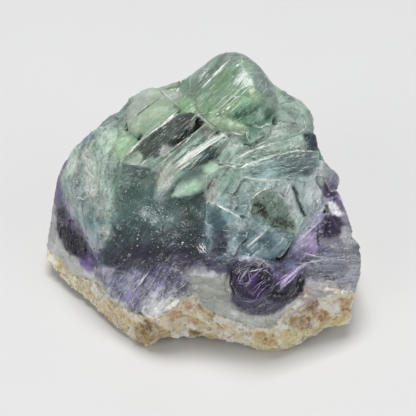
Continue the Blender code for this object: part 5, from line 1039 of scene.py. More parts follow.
stone_rise += plane_rise * forms[:, 1] * 0.9 + cloud(co, 0.16, 4, 31) * 0.25
stone_rise += np.clip((weight - 0.5) * 1.6, 0, 1) * 0.75
druse_rise = (druse[:, 0] - 0.5) * 0.8 + (druse_way * (druse - 0.5) * 1.9).sum(axis=1) + 0.35 * smooth(druse_edge, 0, 0.35)
grit_rise = (grit[:, 0] - 0.5) * 0.3 + (grit_way * (grit - 0.5) * 0.7).sum(axis=1) + 0.12 * smooth(grit_edge, 0, 0.3)
comb_rise = (comb[:, 0] - 0.5) * 1.3 + (comb_way * (comb - 0.5) * 3.0).sum(axis=1) + 0.3 * smooth(comb_edge, 0, 0.3)
crust_w = smooth(crusty + cloud(co, 0.3, 3, 171) * 0.15, 0.3, 0.65)
# the crust climbs a little higher at the left end
c, near, p = traced([(40, 243), (47, 246), (54, 253), (64, 262), (66, 270), (56, 272), (42, 262)], 1.8, 2.5, 77)
dist, inside = to_line(c, p, True)
crust_w[near] = np.maximum(crust_w[near], smooth(np.where(inside, dist, -dist), -1.0, 1.5) * np.clip(seen[near] * 1.5, 0, 1))
relief = stone_rise * (1 - crust_w) + crust_w * (comb_rise * 0.34 + druse_rise * 0.44 + grit_rise * 0.42 - 0.15) + carve
relief[co[:, 2] < 0.6] *= 0.1
co2 = co + no * relief[:, None]
co2[:, 2] = np.maximum(co2[:, 2], np.minimum(co[:, 2], 0.02))
front_w = (co[:, 1] < 0) * smooth(-co[:, 1], 18, 24)
edge = (1 - smooth(co[:, 2], 0.8, 3.0)) * front_w
arch = smooth(U, 146, 164) * (1 - smooth(U, 226, 246))
co2[:, 1] += edge * (0.5 + 8.0 * arch)
set_points(mesh, co2)
_, no2 = mesh_arrays(mesh)
bend = ((co2 - skin.spread(co2, 3)) * no2).sum(axis=1)
bend_wide = ((co2 - skin.spread(co2, 14)) * no2).sum(axis=1)
ridge = np.maximum(smooth(bend, 0.05, 0.18), smooth(bend_wide, 0.16, 0.6))
crease = np.maximum(smooth(-bend, 0.05, 0.18), smooth(-bend_wide, 0.16, 0.6))

# crust colours, crystal by crystal
shades = np.array([linear(c) for c in [(220, 204, 168), (206, 186, 142), (188, 162, 114), (230, 220, 194), (176, 148, 100), (212, 198, 160), (216, 194, 160)]])
crust_tint = shades[(comb[:, 1] * 6.99).astype(int)] * 0.45 + shades[(druse[:, 1] * 6.99).astype(int)] * 0.2 + linear((232, 214, 176)) * 0.4
crust_tint *= (0.8 + 0.25 * smooth(co[:, 2], 0.5, 7))[:, None]
lips = np.maximum((1 - smooth(druse_edge, 0.04, 0.22)) * 0.25, (1 - smooth(comb_edge, 0.03, 0.16)) * 0.6)
crust_tint = crust_tint * (1 - lips[:, None]) + linear((236, 228, 208)) * lips[:, None]
tint = tint * (1 - crust_w[:, None]) + crust_tint * crust_w[:, None]
grey = tint.mean(axis=1, keepdims=True)
tint = 1 - np.exp(-tint * (1 + (GAIN - 1) * smooth(grey, 0.03, 0.22) * (1 - 0.45 * crust_w[:, None])))
# honey, brown and rosy areas of the crust: outline on the view, colour, strength
STAINS = [((150, 124, 86), 0.85, [(137, 322), (146, 318), (160, 326), (172, 330), (170, 339), (150, 345), (140, 348), (134, 340)]),
          ((122, 98, 66), 0.7, [(139, 322), (150, 322), (156, 332), (144, 336), (138, 330)]), ((176, 158, 116), 0.5, [(104, 300), (124, 312), (134, 322), (126, 332), (110, 320), (98, 306)]),
          ((232, 214, 194), 0.85, [(172, 314), (184, 306), (192, 312), (190, 326), (188, 337), (172, 337), (170, 326)]), ((176, 146, 134), 0.85, [(180, 300), (192, 298), (194, 308), (184, 311)]),
          ((140, 112, 98), 0.8, [(194, 303), (202, 305), (210, 314), (212, 320), (204, 312), (196, 308)]), ((112, 90, 64), 0.9, [(189, 326), (196, 328), (204, 333), (200, 336), (188, 336)]),
          ((172, 148, 108), 0.8, [(190, 317), (200, 319), (210, 325), (204, 328), (194, 325)]), ((194, 186, 180), 0.75, [(146, 311), (160, 305), (176, 302), (180, 310), (172, 322), (160, 326), (149, 321)]), ((190, 160, 150), 0.6, [(166, 312), (178, 304), (184, 310), (174, 322)]),
          ((178, 156, 114), 0.7, [(206, 332), (218, 330), (226, 338), (216, 342), (206, 338)]), ((252, 240, 214), 0.85, [(210, 322), (224, 318), (246, 324), (250, 332), (230, 332), (214, 330)]),
          ((240, 226, 194), 0.8, [(224, 334), (248, 334), (252, 346), (236, 347), (224, 342)]), ((186, 162, 110), 0.85, [(254, 334), (264, 330), (276, 334), (280, 344), (264, 346), (254, 342)]),
          ((206, 190, 152), 0.6, [(250, 346), (276, 346), (288, 348), (274, 353), (258, 351)]), ((214, 204, 176), 0.6, [(276, 324), (286, 326), (286, 338), (278, 334)]),
          ((140, 118, 74), 0.85, [(290, 316), (300, 314), (312, 318), (312, 326), (300, 330), (290, 326)]), ((198, 182, 140), 0.7, [(284, 332), (300, 332), (314, 326), (308, 336), (294, 344), (284, 344)]),
          ((132, 104, 98), 0.9, [(302, 299), (312, 298), (320, 304), (318, 313), (306, 312)]), ((148, 112, 62), 0.85, [(315, 314), (322, 308), (330, 310), (332, 318), (324, 322), (314, 319)]),
          ((164, 112, 50), 0.8, [(318, 316), (326, 312), (328, 318), (320, 320)]), ((240, 228, 202), 0.9, [(326, 300), (338, 297), (341, 310), (334, 316), (326, 308)]),
          ((172, 136, 80), 0.9, [(341, 300), (351, 297), (352, 308), (345, 318), (340, 312)]), ((210, 184, 132), 0.8, [(332, 318), (346, 317), (349, 322), (340, 327), (330, 324)])]
for colour, strength, points in STAINS:
    c, near, p = traced(points, 1.8, 2.5, int(points[0][0] * 5 + points[0][1]))
    dist, inside = to_line(c, p, True)
    w = (smooth(np.where(inside, dist, -dist), -1.8, 1.8) * np.clip(seen[near] * 1.5, 0, 1) * strength * crust_w[near])[:, None]
    keep = 0.75 + 0.25 * tint[near] / np.maximum(tint[near].mean(axis=0), 1e-3)
    tint[near] = tint[near] * (1 - w) + np.clip(linear(colour) * (1.12 if sum(colour) > 500 else 0.86) * keep, 0, 1) * w
# painted shade: deep and shaded places darkened in the colour: outline on the view, factor
SHADE_PAINTS = [((0.55, 0.5, 0.62), [(56, 208), (66, 210), (76, 224), (88, 238), (92, 254), (84, 260), (74, 254), (60, 238)]),
         ((0.8, 0.82, 0.84), [(50, 178), (62, 172), (60, 206), (50, 208)]), ((0.9, 0.9, 0.88), [(44, 222), (54, 222), (62, 244), (74, 260), (62, 260), (46, 242)]),
         ((0.72, 0.72, 0.8), [(196, 262), (210, 258), (228, 260), (229, 272), (212, 274), (200, 275)]),
         ((0.82, 0.84, 0.9), [(256, 196), (270, 192), (284, 204), (294, 228), (276, 222), (258, 206)])]
for factor, points in SHADE_PAINTS:
    c, near, p = traced(points, 1.8, 3.5, int(points[0][0] * 7 + points[0][1]))
    dist, inside = to_line(c, p, True)
    w = (smooth(np.where(inside, dist, -dist), -2.0, 2.0) * np.clip(seen[near] * 1.5, 0, 1))[:, None]
    tint[near] *= 1 - w * (1 - np.array(factor))
tint = np.clip(tint * (1 + crust_w[:, None] * np.array((0.58, 0.56, 0.62))), 0, 0.96)
# painted shadow: the lower front edge under the arch is darkened to dark brown
shade = (edge * arch * 0.9)[:, None]
tint = tint * (1 - shade) + linear((84, 72, 60)) * shade
print("relief done")


def put(mesh, name, values, kind="FLOAT"):
    attribute = mesh.attributes.new(name, kind, "POINT")
    if kind == "FLOAT":
        attribute.data.foreach_set("value", np.asarray(values, np.float32))
    elif kind == "FLOAT_VECTOR":
        attribute.data.foreach_set("vector", np.asarray(values, np.float32).ravel())
    else:
        full = np.ones((len(values), 4), np.float32)
        full[:, : values.shape[1]] = values
        attribute.data.foreach_set("color", full.ravel())


put(mesh, "tint", tint, "FLOAT_COLOR")
for key, values in (("veil", veil), ("speck", speck), ("streak", streak), ("clear", clear), ("crusty", crust_w), ("frost", frost),
                    ("ridge", ridge), ("crease", crease), ("seen", seen)):
    put(mesh, key, values)
put(mesh, "lath", np.stack([lath[:, 0], chip[:, 0], crumb[:, 0]], axis=1), "FLOAT_COLOR")
put(mesh, "plane", plane[:, 2] * (1 - crust_w) + 0.5 * crust_w)
put(mesh, "lie", np.stack([t + offset * 5, s, n_depth], axis=1), "FLOAT_VECTOR")
put(mesh, "along", along, "FLOAT_VECTOR")


def thinned(obj, limit, keep):
    """Fewer triangles, most of them kept where keep is high; measured in millimetres meanwhile."""
    mesh = obj.data
    mesh.vertices.foreach_set("co", co2.astype(np.float32).ravel())
    group = obj.vertex_groups.new(name="thin")
    steps = np.round(np.clip(1 - keep, 0, 1) * 10).astype(int)
    for level in range(11):
        group.add(np.nonzero(steps == level)[0].tolist(), level / 10, "REPLACE")
    mod = obj.modifiers.new("thin", "DECIMATE")
    mod.decimate_type = "COLLAPSE"
    mod.ratio = limit / (2.0 * len(mesh.polygons))
    mod.use_collapse_triangulate = True
    mod.vertex_group = "thin"
    mod.vertex_group_factor = 0.006
    bpy.context.view_layer.update()
    graph = bpy.context.evaluated_depsgraph_get()
    new = bpy.data.meshes.new_from_object(obj.evaluated_get(graph))
    obj.modifiers.clear()
    obj.vertex_groups.clear()
    obj.data = new
    new.name = obj.name
    points = np.empty(len(new.vertices) * 3, np.float32)
    new.vertices.foreach_get("co", points)
    set_points(new, points.reshape(-1, 3).astype(float))
    return new


mesh = thinned(body, 194000, seen * 0.9)
print("body triangles", len(mesh.polygons), "points", len(mesh.vertices))
mesh.shade_smooth()
mesh.set_sharp_from_angle(angle=math.radians(26))
co, no = mesh_arrays(mesh)
count = len(co)
tree = BVHTree.FromPolygons(co.tolist(), [tuple(f.vertices) for f in mesh.polygons])


def fetch(name, width=1):
    data = mesh.attributes[name].data
    values = np.empty(len(data) * (4 if width == 4 else width), np.float32)
    data.foreach_get({1: "value", 3: "vector", 4: "color"}[width], values)
    return values.reshape(-1, width) if width > 1 else values


clearness = fetch("clear")
tint, frost, streak, crusty, seen, veil, speck = fetch("tint", 4)[:, :3], fetch("frost"), fetch("streak"), fetch("crusty"), fetch("seen"), fetch("veil"), fetch("speck")
along = unit(fetch("along", 3))
U, V, DEPTH = project(co)


# ---------------------------------------------------------------- materials
class Net:
    """Short names for building a node tree."""

    def __init__(self, name):
        self.material = bpy.data.materials.new(name)
        self.material.use_nodes = True
        self.tree = self.material.node_tree
        self.shader = self.tree.nodes["Principled BSDF"]

    def put(self, node, key, value):
        socket = node.inputs[key]
        if isinstance(value, bpy.types.NodeSocket):
            self.tree.links.new(value, socket)
        else:
            socket.default_value = value

    def add(self, kind, inputs=(), **props):
        node = self.tree.nodes.new(kind)
        for key, value in props.items():
            setattr(node, key, value)
        for key, value in dict(inputs).items():
            self.put(node, key, value)
        return node

    def point(self):
        if not hasattr(self, "_point"):
            place = self.add("ShaderNodeTexCoord")
            self._point = self.add("ShaderNodeVectorMath", {0: place.outputs["Object"], "Scale": 1000.0}, operation="SCALE").outputs[0]
        return self._point

    def attr(self, name, out="Fac"):
        return self.add("ShaderNodeAttribute", attribute_name=name).outputs[out]

    def noise(self, scale, detail=4.0, rough=0.55, distort=0.0, vector=None):
        ins = {"Vector": vector if vector is not None else self.point(), "Scale": scale, "Detail": detail, "Roughness": rough, "Distortion": distort}
        return self.add("ShaderNodeTexNoise", ins).outputs["Fac"]

    def cells(self, vector):
        """A random value for each crystal cell, and the distance to the cell's border."""
        value = self.add("ShaderNodeTexVoronoi", {"Vector": vector, "Scale": 1.0}, feature="F1").outputs["Color"]
        border = self.add("ShaderNodeTexVoronoi", {"Vector": vector, "Scale": 1.0}, feature="DISTANCE_TO_EDGE").outputs["Distance"]
        return self.add("ShaderNodeSeparateColor", {0: value}).outputs[0], border

    def shifted(self, vector, offset):
        return self.add("ShaderNodeVectorMath", {0: vector, 1: offset}, operation="ADD").outputs[0]

    def stretched(self, vector, factors):
        return self.add("ShaderNodeVectorMath", {0: vector, 1: factors}, operation="MULTIPLY").outputs[0]

    def ramp(self, value, low, high, to_low=0.0, to_high=1.0):
        node = self.add("ShaderNodeMapRange", {0: value, 1: low, 2: high, 3: to_low, 4: to_high}, interpolation_type="SMOOTHSTEP")
        return node.outputs[0]

    def maths(self, kind, a, b=0.0, clamp=False):
        return self.add("ShaderNodeMath", {0: a, 1: b}, operation=kind, use_clamp=clamp).outputs[0]

    def times(self, *values):
        total = values[0]
        for value in values[1:]:
            total = self.maths("MULTIPLY", total, value)
        return total

    def most(self, *values):
        total = values[0]
        for value in values[1:]:
            total = self.maths("MAXIMUM", total, value)
        return total

    def grey(self, value):
        return self.add("ShaderNodeCombineColor", {0: value, 1: value, 2: value}).outputs[0]

    def blend(self, factor, a, b, kind="MIX"):
        node = self.add("ShaderNodeMix", data_type="RGBA", blend_type=kind, clamp_factor=True)
        self.put(node, 0, factor)
        self.put(node, 6, a)
        self.put(node, 7, b)
        return node.outputs[2]

    def bump(self, height, strength, distance, normal=None):
        ins = {"Height": height, "Strength": strength, "Distance": distance}
        if normal is not None:
            ins["Normal"] = normal
        return self.add("ShaderNodeBump", ins).outputs[0]


def rgba(colour):
    return (*[float(x) for x in linear(colour)], 1.0)


def fluorite_material():
    m = Net("fluorite")
    tint = m.attr("tint", "Color")
    veil, speck, streak = m.attr("veil"), m.attr("speck"), m.attr("streak")
    clear, crusty, frost = m.attr("clear"), m.attr("crusty"), m.attr("frost")
    ridge, crease = m.attr("ridge"), m.attr("crease")
    lie = m.attr("lie", "Vector")
    stone = m.maths("SUBTRACT", 1.0, crusty)
    broad = m.noise(0.14, 4, 0.6, 0.4)
    fine = m.noise(0.6, 8, 0.70, 0.8)
    grain = m.noise(2.6, 3, 0.6)
    patch = m.noise(0.2, 3, 0.6, 0.5, m.shifted(m.point(), (3.0, 71.0, 13.0)))
    wisps = m.noise(0.34, 9, 0.72, 1.5, m.shifted(m.point(), (31.0, 7.0, 3.0)))
    sway = m.add("ShaderNodeTexNoise", {"Vector": m.point(), "Scale": 0.22, "Detail": 4.0}).outputs["Color"]
    bent = m.add("ShaderNodeVectorMath", {0: sway, 1: (3.0, 2.0, 2.0), 2: lie}, operation="MULTIPLY_ADD").outputs[0]
    bands = m.noise(1.0, 3, 0.55, 0.2, m.stretched(lie, (0.05, 0.42, 0.42)))
    lines = m.noise(1.0, 4, 0.62, 0.15, m.stretched(lie, (0.10, 1.7, 1.7)))
    hair = m.noise(1.0, 2, 0.6, 0.0, m.stretched(m.shifted(lie, (40.0, 9.0, 2.0)), (0.24, 4.0, 4.0)))
    flecks = m.noise(1.0, 3, 0.6, 0.2, m.stretched(m.shifted(lie, (4.0, 90.0, 20.0)), (0.95, 2.3, 2.3)))
    dots = m.noise(1.9, 4, 0.7, 0.2, m.shifted(m.point(), (5.0, 50.0, 9.0)))
    plates, plate_edge = m.cells(m.stretched(bent, (0.13, 0.30, 0.30)))
    shards, _ = m.cells(m.stretched(bent, (0.34, 0.75, 0.75)))

    # light and dark variation, plate by plate
    colour = m.blend(1.0, tint, m.grey(m.ramp(broad, 0.25, 0.75, 0.84, 1.18)), "MULTIPLY")
    calm = m.ramp(veil, 0.1, 0.6, 0.35, 1.0)
    plate_tone = m.times(m.maths("SUBTRACT", plates, 0.5), 0.6, calm)
    shard_tone = m.times(m.maths("SUBTRACT", shards, 0.5), 0.34, calm)
    band_tone = m.times(m.maths("SUBTRACT", m.ramp(bands, 0.36, 0.64), 0.5), streak, 0.7)
    mottle = m.noise(0.8, 6, 0.72, 0.9, m.shifted(m.point(), (9.0, 2.0, 41.0)))
    mottle_tone = m.times(m.maths("SUBTRACT", m.ramp(mottle, 0.34, 0.66), 0.5), m.maths("ADD", m.times(m.maths("ADD", veil, speck), 0.3), 0.12))
    band_tone = m.maths("ADD", band_tone, mottle_tone)
    tone = m.maths("ADD", 1.0, m.times(stone, m.maths("ADD", m.maths("ADD", plate_tone, shard_tone), band_tone)))
    colour = m.blend(1.0, colour, m.grey(tone), "MULTIPLY")
    pits = m.times(m.ramp(fine, 0.45, 0.36), m.maths("ADD", m.times(speck, 0.5), 0.1), stone)
    colour = m.blend(pits, colour, m.blend(1.0, colour, rgba((130, 140, 146)), "MULTIPLY"))
    dark_line = m.times(m.ramp(lines, 0.42, 0.34), streak, stone)
    colour = m.blend(m.times(dark_line, 0.5), colour, m.blend(1.0, colour, rgba((112, 128, 126)), "MULTIPLY"))
    # painted shade: the colour is darkened in creases, less where veils are
    colour = m.blend(m.times(crease, m.maths("SUBTRACT", 1.0, m.times(veil, 0.7), True), 0.5), colour, m.blend(1.0, colour, rgba((120, 126, 128)), "MULTIPLY"))
    # whites: veils, growth lines, cracks, flecks, dots, edges and frost; the growth lines, hairs and flecks in the lit
    # patches are also painted glints, and the ridges carry painted highlights
    white = m.blend(0.25, rgba((238, 243, 238)), tint)
    lit = m.ramp(patch, 0.42, 0.6)
    veils = m.times(m.ramp(wisps, 0.53, 0.66), veil, stone)
    line_white = m.times(m.ramp(lines, 0.57, 0.66), streak, m.maths("ADD", m.times(lit, 0.8), 0.15), stone)
    hair_white = m.times(m.ramp(hair, 0.63, 0.69), m.maths("ADD", streak, 0.05), lit, stone)
    crack_white = m.times(m.ramp(plate_edge, 0.05, 0.01), m.ramp(broad, 0.50, 0.60), veil, stone)
    fleck_white = m.times(m.ramp(flecks, 0.63, 0.68), speck, lit, stone)
    dot_white = m.times(m.ramp(dots, 0.63, 0.68), m.maths("ADD", m.times(speck, 0.4, lit), m.times(frost, 0.8)), stone)
    # painted highlight: white along the ridges, with the real white veils in the creases
    ridge_highlight_and_veil = m.times(m.most(ridge, m.times(crease, veil, 0.6)), m.ramp(dots, 0.38, 0.52), m.ramp(patch, 0.30, 0.5), stone, m.ramp(m.add("ShaderNodeRGBToBW", {0: tint}).outputs[0], 0.01, 0.12, 0.3, 1.0))
    frost_white = m.times(m.ramp(frost, 0.1, 0.7), m.ramp(m.noise(1.7, 6, 0.75, 0.6), 0.5, 0.57))
    soft_white = m.most(m.times(veils, 0.5), m.times(ridge_highlight_and_veil, 0.6))
    hard_white = m.most(m.times(line_white, 0.7), m.times(hair_white, 0.8), m.times(fleck_white, 0.85), m.times(dot_white, 0.8), m.times(frost_white, 0.55),
                        m.times(crack_white, 0.3))
    colour = m.blend(soft_white, colour, white)
    colour = m.blend(hard_white, colour, m.blend(0.7, white, rgba((246, 249, 245))))
    # the crust: honey crystals in a cream network
    near_crust = m.add("ShaderNodeVectorMath", {0: sway, 1: (2.0, 2.0, 2.0), 2: m.point()}, operation="MULTIPLY_ADD").outputs[0]
    combs, comb_edge = m.cells(m.stretched(near_crust, (0.3, 0.3, 0.3)))
    crumbs, crumb_edge = m.cells(m.stretched(near_crust, (0.95, 0.95, 0.95)))
    honey = m.blend(1.0, tint, m.blend(m.ramp(combs, 0.2, 0.8), rgba((236, 222, 194)), rgba((255, 252, 246))), "MULTIPLY")
    honey = m.blend(m.ramp(crumbs, 0.6, 0.9, 0.0, 0.2), honey, rgba((242, 232, 206)))
    cream = m.most(m.ramp(comb_edge, 0.14, 0.03), m.times(m.ramp(crumb_edge, 0.12, 0.02), 0.3))
    honey = m.blend(m.times(cream, 0.3), honey, rgba((248, 240, 220)))
    # painted highlight: the crust is lighter on its ridges; painted shade: darker in its creases
    honey = m.blend(m.times(ridge, m.ramp(fine, 0.4, 0.55), 0.35), honey, rgba((244, 238, 222)))
    honey = m.blend(m.times(crease, 0.35), honey, m.blend(1.0, honey, rgba((200, 178, 146)), "MULTIPLY"))
    honey = m.blend(m.times(m.ramp(fine, 0.42, 0.34), 0.25), honey, m.blend(1.0, honey, rgba((190, 168, 130)), "MULTIPLY"))
    colour = m.blend(crusty, colour, honey)
    m.put(m.shader, "Base Color", colour)
    # gloss, depth and fine relief
    whites = m.most(soft_white, hard_white)
    rough = m.maths("ADD", m.ramp(fine, 0.35, 0.7, 0.12, 0.28), m.maths("ADD", m.times(whites, 0.15), m.times(crusty, 0.12)))
    m.put(m.shader, "Roughness", rough)
    through = m.times(clear, m.maths("SUBTRACT", 1.0, whites, True))
    m.put(m.shader, "Transmission Weight", through)
    m.put(m.shader, "IOR", 1.434)
    depth = m.add("ShaderNodeVolumeAbsorption")
    depth.inputs["Color"].default_value = (0.60, 0.80, 0.70, 1.0)
    depth.inputs["Density"].default_value = 16.0
    m.tree.links.new(depth.outputs[0], m.tree.nodes["Material Output"].inputs["Volume"])
    n = m.bump(fine, 0.25, 0.0005)
    n = m.bump(m.times(lines, streak), 0.5, 0.0005, n)
    n = m.bump(m.ramp(m.blend(crusty, m.grey(plate_edge), m.grey(comb_edge)), 0.0, 0.12), 0.3, 0.0002, n)
    n = m.bump(grain, 0.2, 0.00015, n)
    m.put(m.shader, "Normal", n)
    m.put(m.shader, "Specular IOR Level", 0.24)
    m.put(m.shader, "Subsurface Weight", 0.15)
    m.put(m.shader, "Subsurface Radius", (1.0, 1.0, 1.0))
    m.put(m.shader, "Subsurface Scale", 0.0008)
    m.put(m.shader, "Coat Weight", m.maths("SUBTRACT", m.times(clear, 1.3), 0.1, True))
    m.put(m.shader, "Coat Roughness", 0.05)
    return m.material


mesh.materials.clear()
mesh.materials.append(fluorite_material())
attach(body, "root")
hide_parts("fluorite_freeform")


# ---------------------------------------------------------------- cleavage slivers: thin laths that stand in the surface
def settled(start, way, length, steps, bend=0.0):
    """Points along the surface from start, with their normals, or None where it drops away."""
    points, normals = [], []
    for i in range(steps):
        f = (i / (steps - 1) - 0.5) * length
        spot, normal, _, dist = tree.find_nearest(Vector(start + way * f))
        if spot is None or dist > 0.9:
            return None
        points.append(spot)
        normals.append(normal)
    return np.array(points), np.array(normals)


def on_ray(u, v):
    hit, normal, _, dist = tree.ray_cast(eye, Vector(unit(sight(u, v))), 800)
    return (np.array(hit), np.array(normal), dist) if hit is not None else None


slivers = []  # (points, normals, half width, height, colour)


def add_sliver(points, normals, width, height, colour):
    slivers.append((points, normals, width, height, colour))


def sliver_piece(name):
    verts, faces, tones, start = [], [], [], 0
    for points, normals, width, height, colour in slivers:
        k = len(points)
        ahead = unit(np.gradient(points, axis=0))
        side = unit(np.cross(ahead, normals))
        up = np.cross(side, ahead)
        f = np.linspace(0, 1, k)
        swell = np.minimum(1, np.minimum(f, 1 - f) * 3.2 + 0.02)[:, None]
        w, h = np.reshape(width, (-1, 1)) * swell, height * swell
        mid = points - up * 0.05
        rings = np.stack([mid + side * w, mid + up * h + side * w * 0.2, mid - side * w, mid - up * h * 0.8], axis=1)
        inner = rings[1:-1]
        m = len(inner)
        verts.append(np.vstack([points[:1], inner.reshape(-1, 3), points[-1:]]))
        quads = []
        for i in range(4):
            j = (i + 1) % 4
            quads.append((start, start + 1 + j, start + 1 + i))
            last = start + 1 + (m - 1) * 4
            quads.append((start + 1 + m * 4, last + i, last + j))
            for r in range(m - 1):
                a, b = start + 1 + r * 4 + i, start + 1 + r * 4 + j
                c, d = b + 4, a + 4
                quads.append((a, b, c))
                quads.append((a, c, d))
        faces += quads
        tones.append(np.repeat(colour[None], m * 4 + 2, axis=0))
        start += m * 4 + 2
    verts, tones = np.vstack(verts), np.vstack(tones)
    verts[:, 2] = np.maximum(verts[:, 2], 0.02)
    data = bpy.data.meshes.new(name)
    data.from_pydata((verts * MM).tolist(), [], faces)
    put(data, "tint", tones, "FLOAT_COLOR")
    data.update()
    obj = bpy.data.objects.new(name, data)
    bpy.context.scene.collection.objects.link(obj)
    print(name, "slivers", len(slivers), "triangles", len(faces))
    return obj


rng = np.random.default_rng(5)
# bundles of bright laths, streaks that are also painted glints: (u, v) start, (u, v) end, half width, number, shortest,
# longest, half width of a lath in mm, colour
BUNDLES = [
    ((176, 167), (214, 134), 5.0, 30, 5, 20, 0.14, (246, 250, 238)), ((160, 178), (206, 141), 4.5, 20, 5, 18, 0.12, (232, 242, 228)),
    ((176, 171), (224, 136), 2.0, 10, 8, 24, 0.14, (246, 250, 240)),
    ((128, 160), (186, 118), 5.5, 12, 3, 9, 0.1, (180, 190, 180)), ((142, 164), (196, 121), 3.0, 10, 3, 11, 0.1, (200, 208, 198)),
    ((193, 90), (234, 56), 4.5, 12, 3, 12, 0.1, (216, 232, 218)), ((200, 108), (243, 66), 8.0, 14, 3, 10, 0.1, (206, 228, 206)),
    ((205, 120), (236, 92), 5.0, 10, 3, 9, 0.1, (226, 240, 220)), ((238, 160), (278, 146), 3.5, 14, 5, 18, 0.12, (240, 246, 240)),
    ((240, 168), (320, 150.5), 1.6, 14, 8, 24, 0.14, (246, 250, 244)), ((246, 177), (316, 160), 7.0, 22, 4, 14, 0.1, (212, 224, 220)),
    ((244, 152), (290, 132), 6.0, 18, 4, 12, 0.11, (230, 240, 230)), ((226, 136), (214, 160), 6, 10, 4, 10, 0.11, (222, 234, 224)),
    ((250, 184), (300, 230), 8, 12, 3, 9, 0.1, (216, 228, 224)), ((300, 184), (302, 224), 3, 8, 5, 12, 0.11, (224, 232, 232)),
    ((112, 296), (146, 268), 5.0, 14, 4, 14, 0.11, (204, 204, 222)), ((128, 306), (170, 270), 7.0, 18, 4, 14, 0.11, (196, 196, 218)),
    ((150, 312), (190, 272), 7.0, 20, 3, 12, 0.12, (222, 222, 234)), ((134, 290), (146, 272), 3.0, 10, 5, 12, 0.13, (236, 236, 246)),
    ((230, 300), (252, 262), 6.0, 12, 4, 10, 0.1, (180, 172, 208)), ((272, 294), (304, 264), 3.5, 14, 5, 16, 0.14, (206, 188, 234)),
    ((296, 258), (328, 212), 4.5, 14, 4, 14, 0.11, (196, 176, 222)), ((304, 268), (358, 262), 12.0, 34, 3, 12, 0.09, (186, 188, 204)),
    ((310, 284), (358, 280), 6.0, 16, 4, 12, 0.1, (206, 206, 218)), ((84, 178), (100, 246), 12.0, 16, 3, 9, 0.09, (214, 224, 218)),
    ((332, 198), (336, 214), 4.0, 8, 3, 8, 0.12, (232, 228, 238)), ((210, 262), (246, 250), 7, 16, 3, 9, 0.1, (206, 212, 222)), ((118, 184), (156, 164), 6.0, 26, 2, 9, 0.1, (196, 210, 204)), ((150, 200), (180, 182), 6.0, 16, 2, 8, 0.1, (190, 206, 202)), ((126, 206), (150, 190), 8.0, 14, 2, 7, 0.08, (170, 186, 184)),
]


def along_view(points):
    """Slivers' points where rays through a path on the view meet the stone, split where the depth jumps."""
    run, last = [], None
    for uv in points:
        found = on_ray(*uv)
        if found is None or (last is not None and abs(found[2] - last) > 1.5):
            if len(run) >= 3:
                yield np.array([f[0] for f in run]), np.array([f[1] for f in run])
            run = []
        if found is not None:
            run.append(found)
            last = found[2]
    if len(run) >= 3:
        yield np.array([f[0] for f in run]), np.array([f[1] for f in run])


for colour, half, rise, strands, points in LINES:
    c = np.array(points, float)
    legs = np.linalg.norm(np.diff(c, axis=0), axis=1)
    ends = np.r_[0, np.cumsum(legs)]
    for k in range(strands + 1):
        mid = rng.uniform(0, 1)
        reach = rng.uniform(0.15, 0.5)
        lo, hi = (max(0.0, mid - reach) * ends[-1], min(1.0, mid + reach) * ends[-1]) if k else (0.0, ends[-1])
        if hi - lo < 5:
            hi = min(ends[-1], lo + 6)
            lo = max(0.0, hi - 6)
        f = np.linspace(lo, hi, max(4, int((hi - lo) / 2.2)))
        path = np.stack([np.interp(f, ends, c[:, i]) for i in range(2)], axis=1)
        ahead = unit(np.gradient(path, axis=0))
        sag = math.sin(rng.uniform(0, 6)) * 0.3
        path += np.stack([-ahead[:, 1], ahead[:, 0]], axis=1) * ((rng.normal() * half * 0.5 if k else 0.0) + sag * np.sin(f / 7.0 + k)[:, None])
        for spots, normals in along_view(path):
            spots = spots + rng.normal(size=spots.shape) * 0.03
            add_sliver(spots, normals, (rng.uniform(0.05, 0.14) if k else 0.1) * (0.8 + 0.3 * half), rng.uniform(0.05, 0.1), linear(colour) * rng.uniform(0.9, 1.05))
# painted glints: white laths along the bright edges, turned towards the key light
glint = unit(np.array((-0.03, -0.39, 0.92)))
for colour, wide_from, wide_to, points in RIBBONS:
    c = np.array(points, float)
    ends = np.r_[0, np.cumsum(np.linalg.norm(np.diff(c, axis=0), axis=1))]
    f = np.linspace(0, ends[-1], max(4, int(ends[-1] / 1.3)))
    path = np.stack([np.interp(f, ends, c[:, i]) for i in range(2)], axis=1)
    ahead = unit(np.gradient(path, axis=0))
    path += np.stack([-ahead[:, 1], ahead[:, 0]], axis=1) * rng.normal(size=(len(f), 1)) * 0.12
    wide = np.interp(f, [0, ends[-1]], [wide_from, wide_to]) * UNIT_MM * rng.uniform(0.75, 1.15, len(f))
    found = [on_ray(*uv) for uv in path]
    run = []
    for i, spot in enumerate(found + [None]):
        if spot is None or (run and abs(spot[2] - found[run[-1]][2]) > 1.2):
            if len(run) >= 3:
                spots = np.array([found[j][0] for j in run]) + glint * 0.06
                normals = unit(np.array([found[j][1] for j in run]) * 0.4 + glint * 0.6)
                add_sliver(spots, normals, wide[run], 0.05, linear(colour))
            run = []
        if spot is not None:
            run.append(i)
for start, end, half, number, short, long_, width, colour in BUNDLES:
    a, b = np.array(start, float), np.array(end, float)
    span = np.linalg.norm(b - a)
    d = (b - a) / span
    side = np.array((-d[1], d[0]))
    for _ in range(number):
        length = min(rng.uniform(short, long_) * rng.uniform(0.6, 1.0), span)
        at = a + d * rng.uniform(0, max(span - length, 0.1)) + side * rng.normal() * half * 0.6
        slant = rng.normal() * 0.04
        way = d * math.cos(slant) + side * math.sin(slant)
        steps = int(np.clip(length / 3.2, 4, 8))
        found = [on_ray(*(at + way * length * i / (steps - 1))) for i in range(steps)]
        if any(f is None for f in found):
            continue
        depths = np.array([f[2] for f in found])
        if np.abs(np.diff(depths)).max() > 1.6:
            continue
        shade = linear(colour) * rng.uniform(0.8, 1.0)
        add_sliver(np.array([f[0] for f in found]), np.array([f[1] for f in found]), width * rng.uniform(0.5, 1.25), rng.uniform(0.05, 0.14), shade)
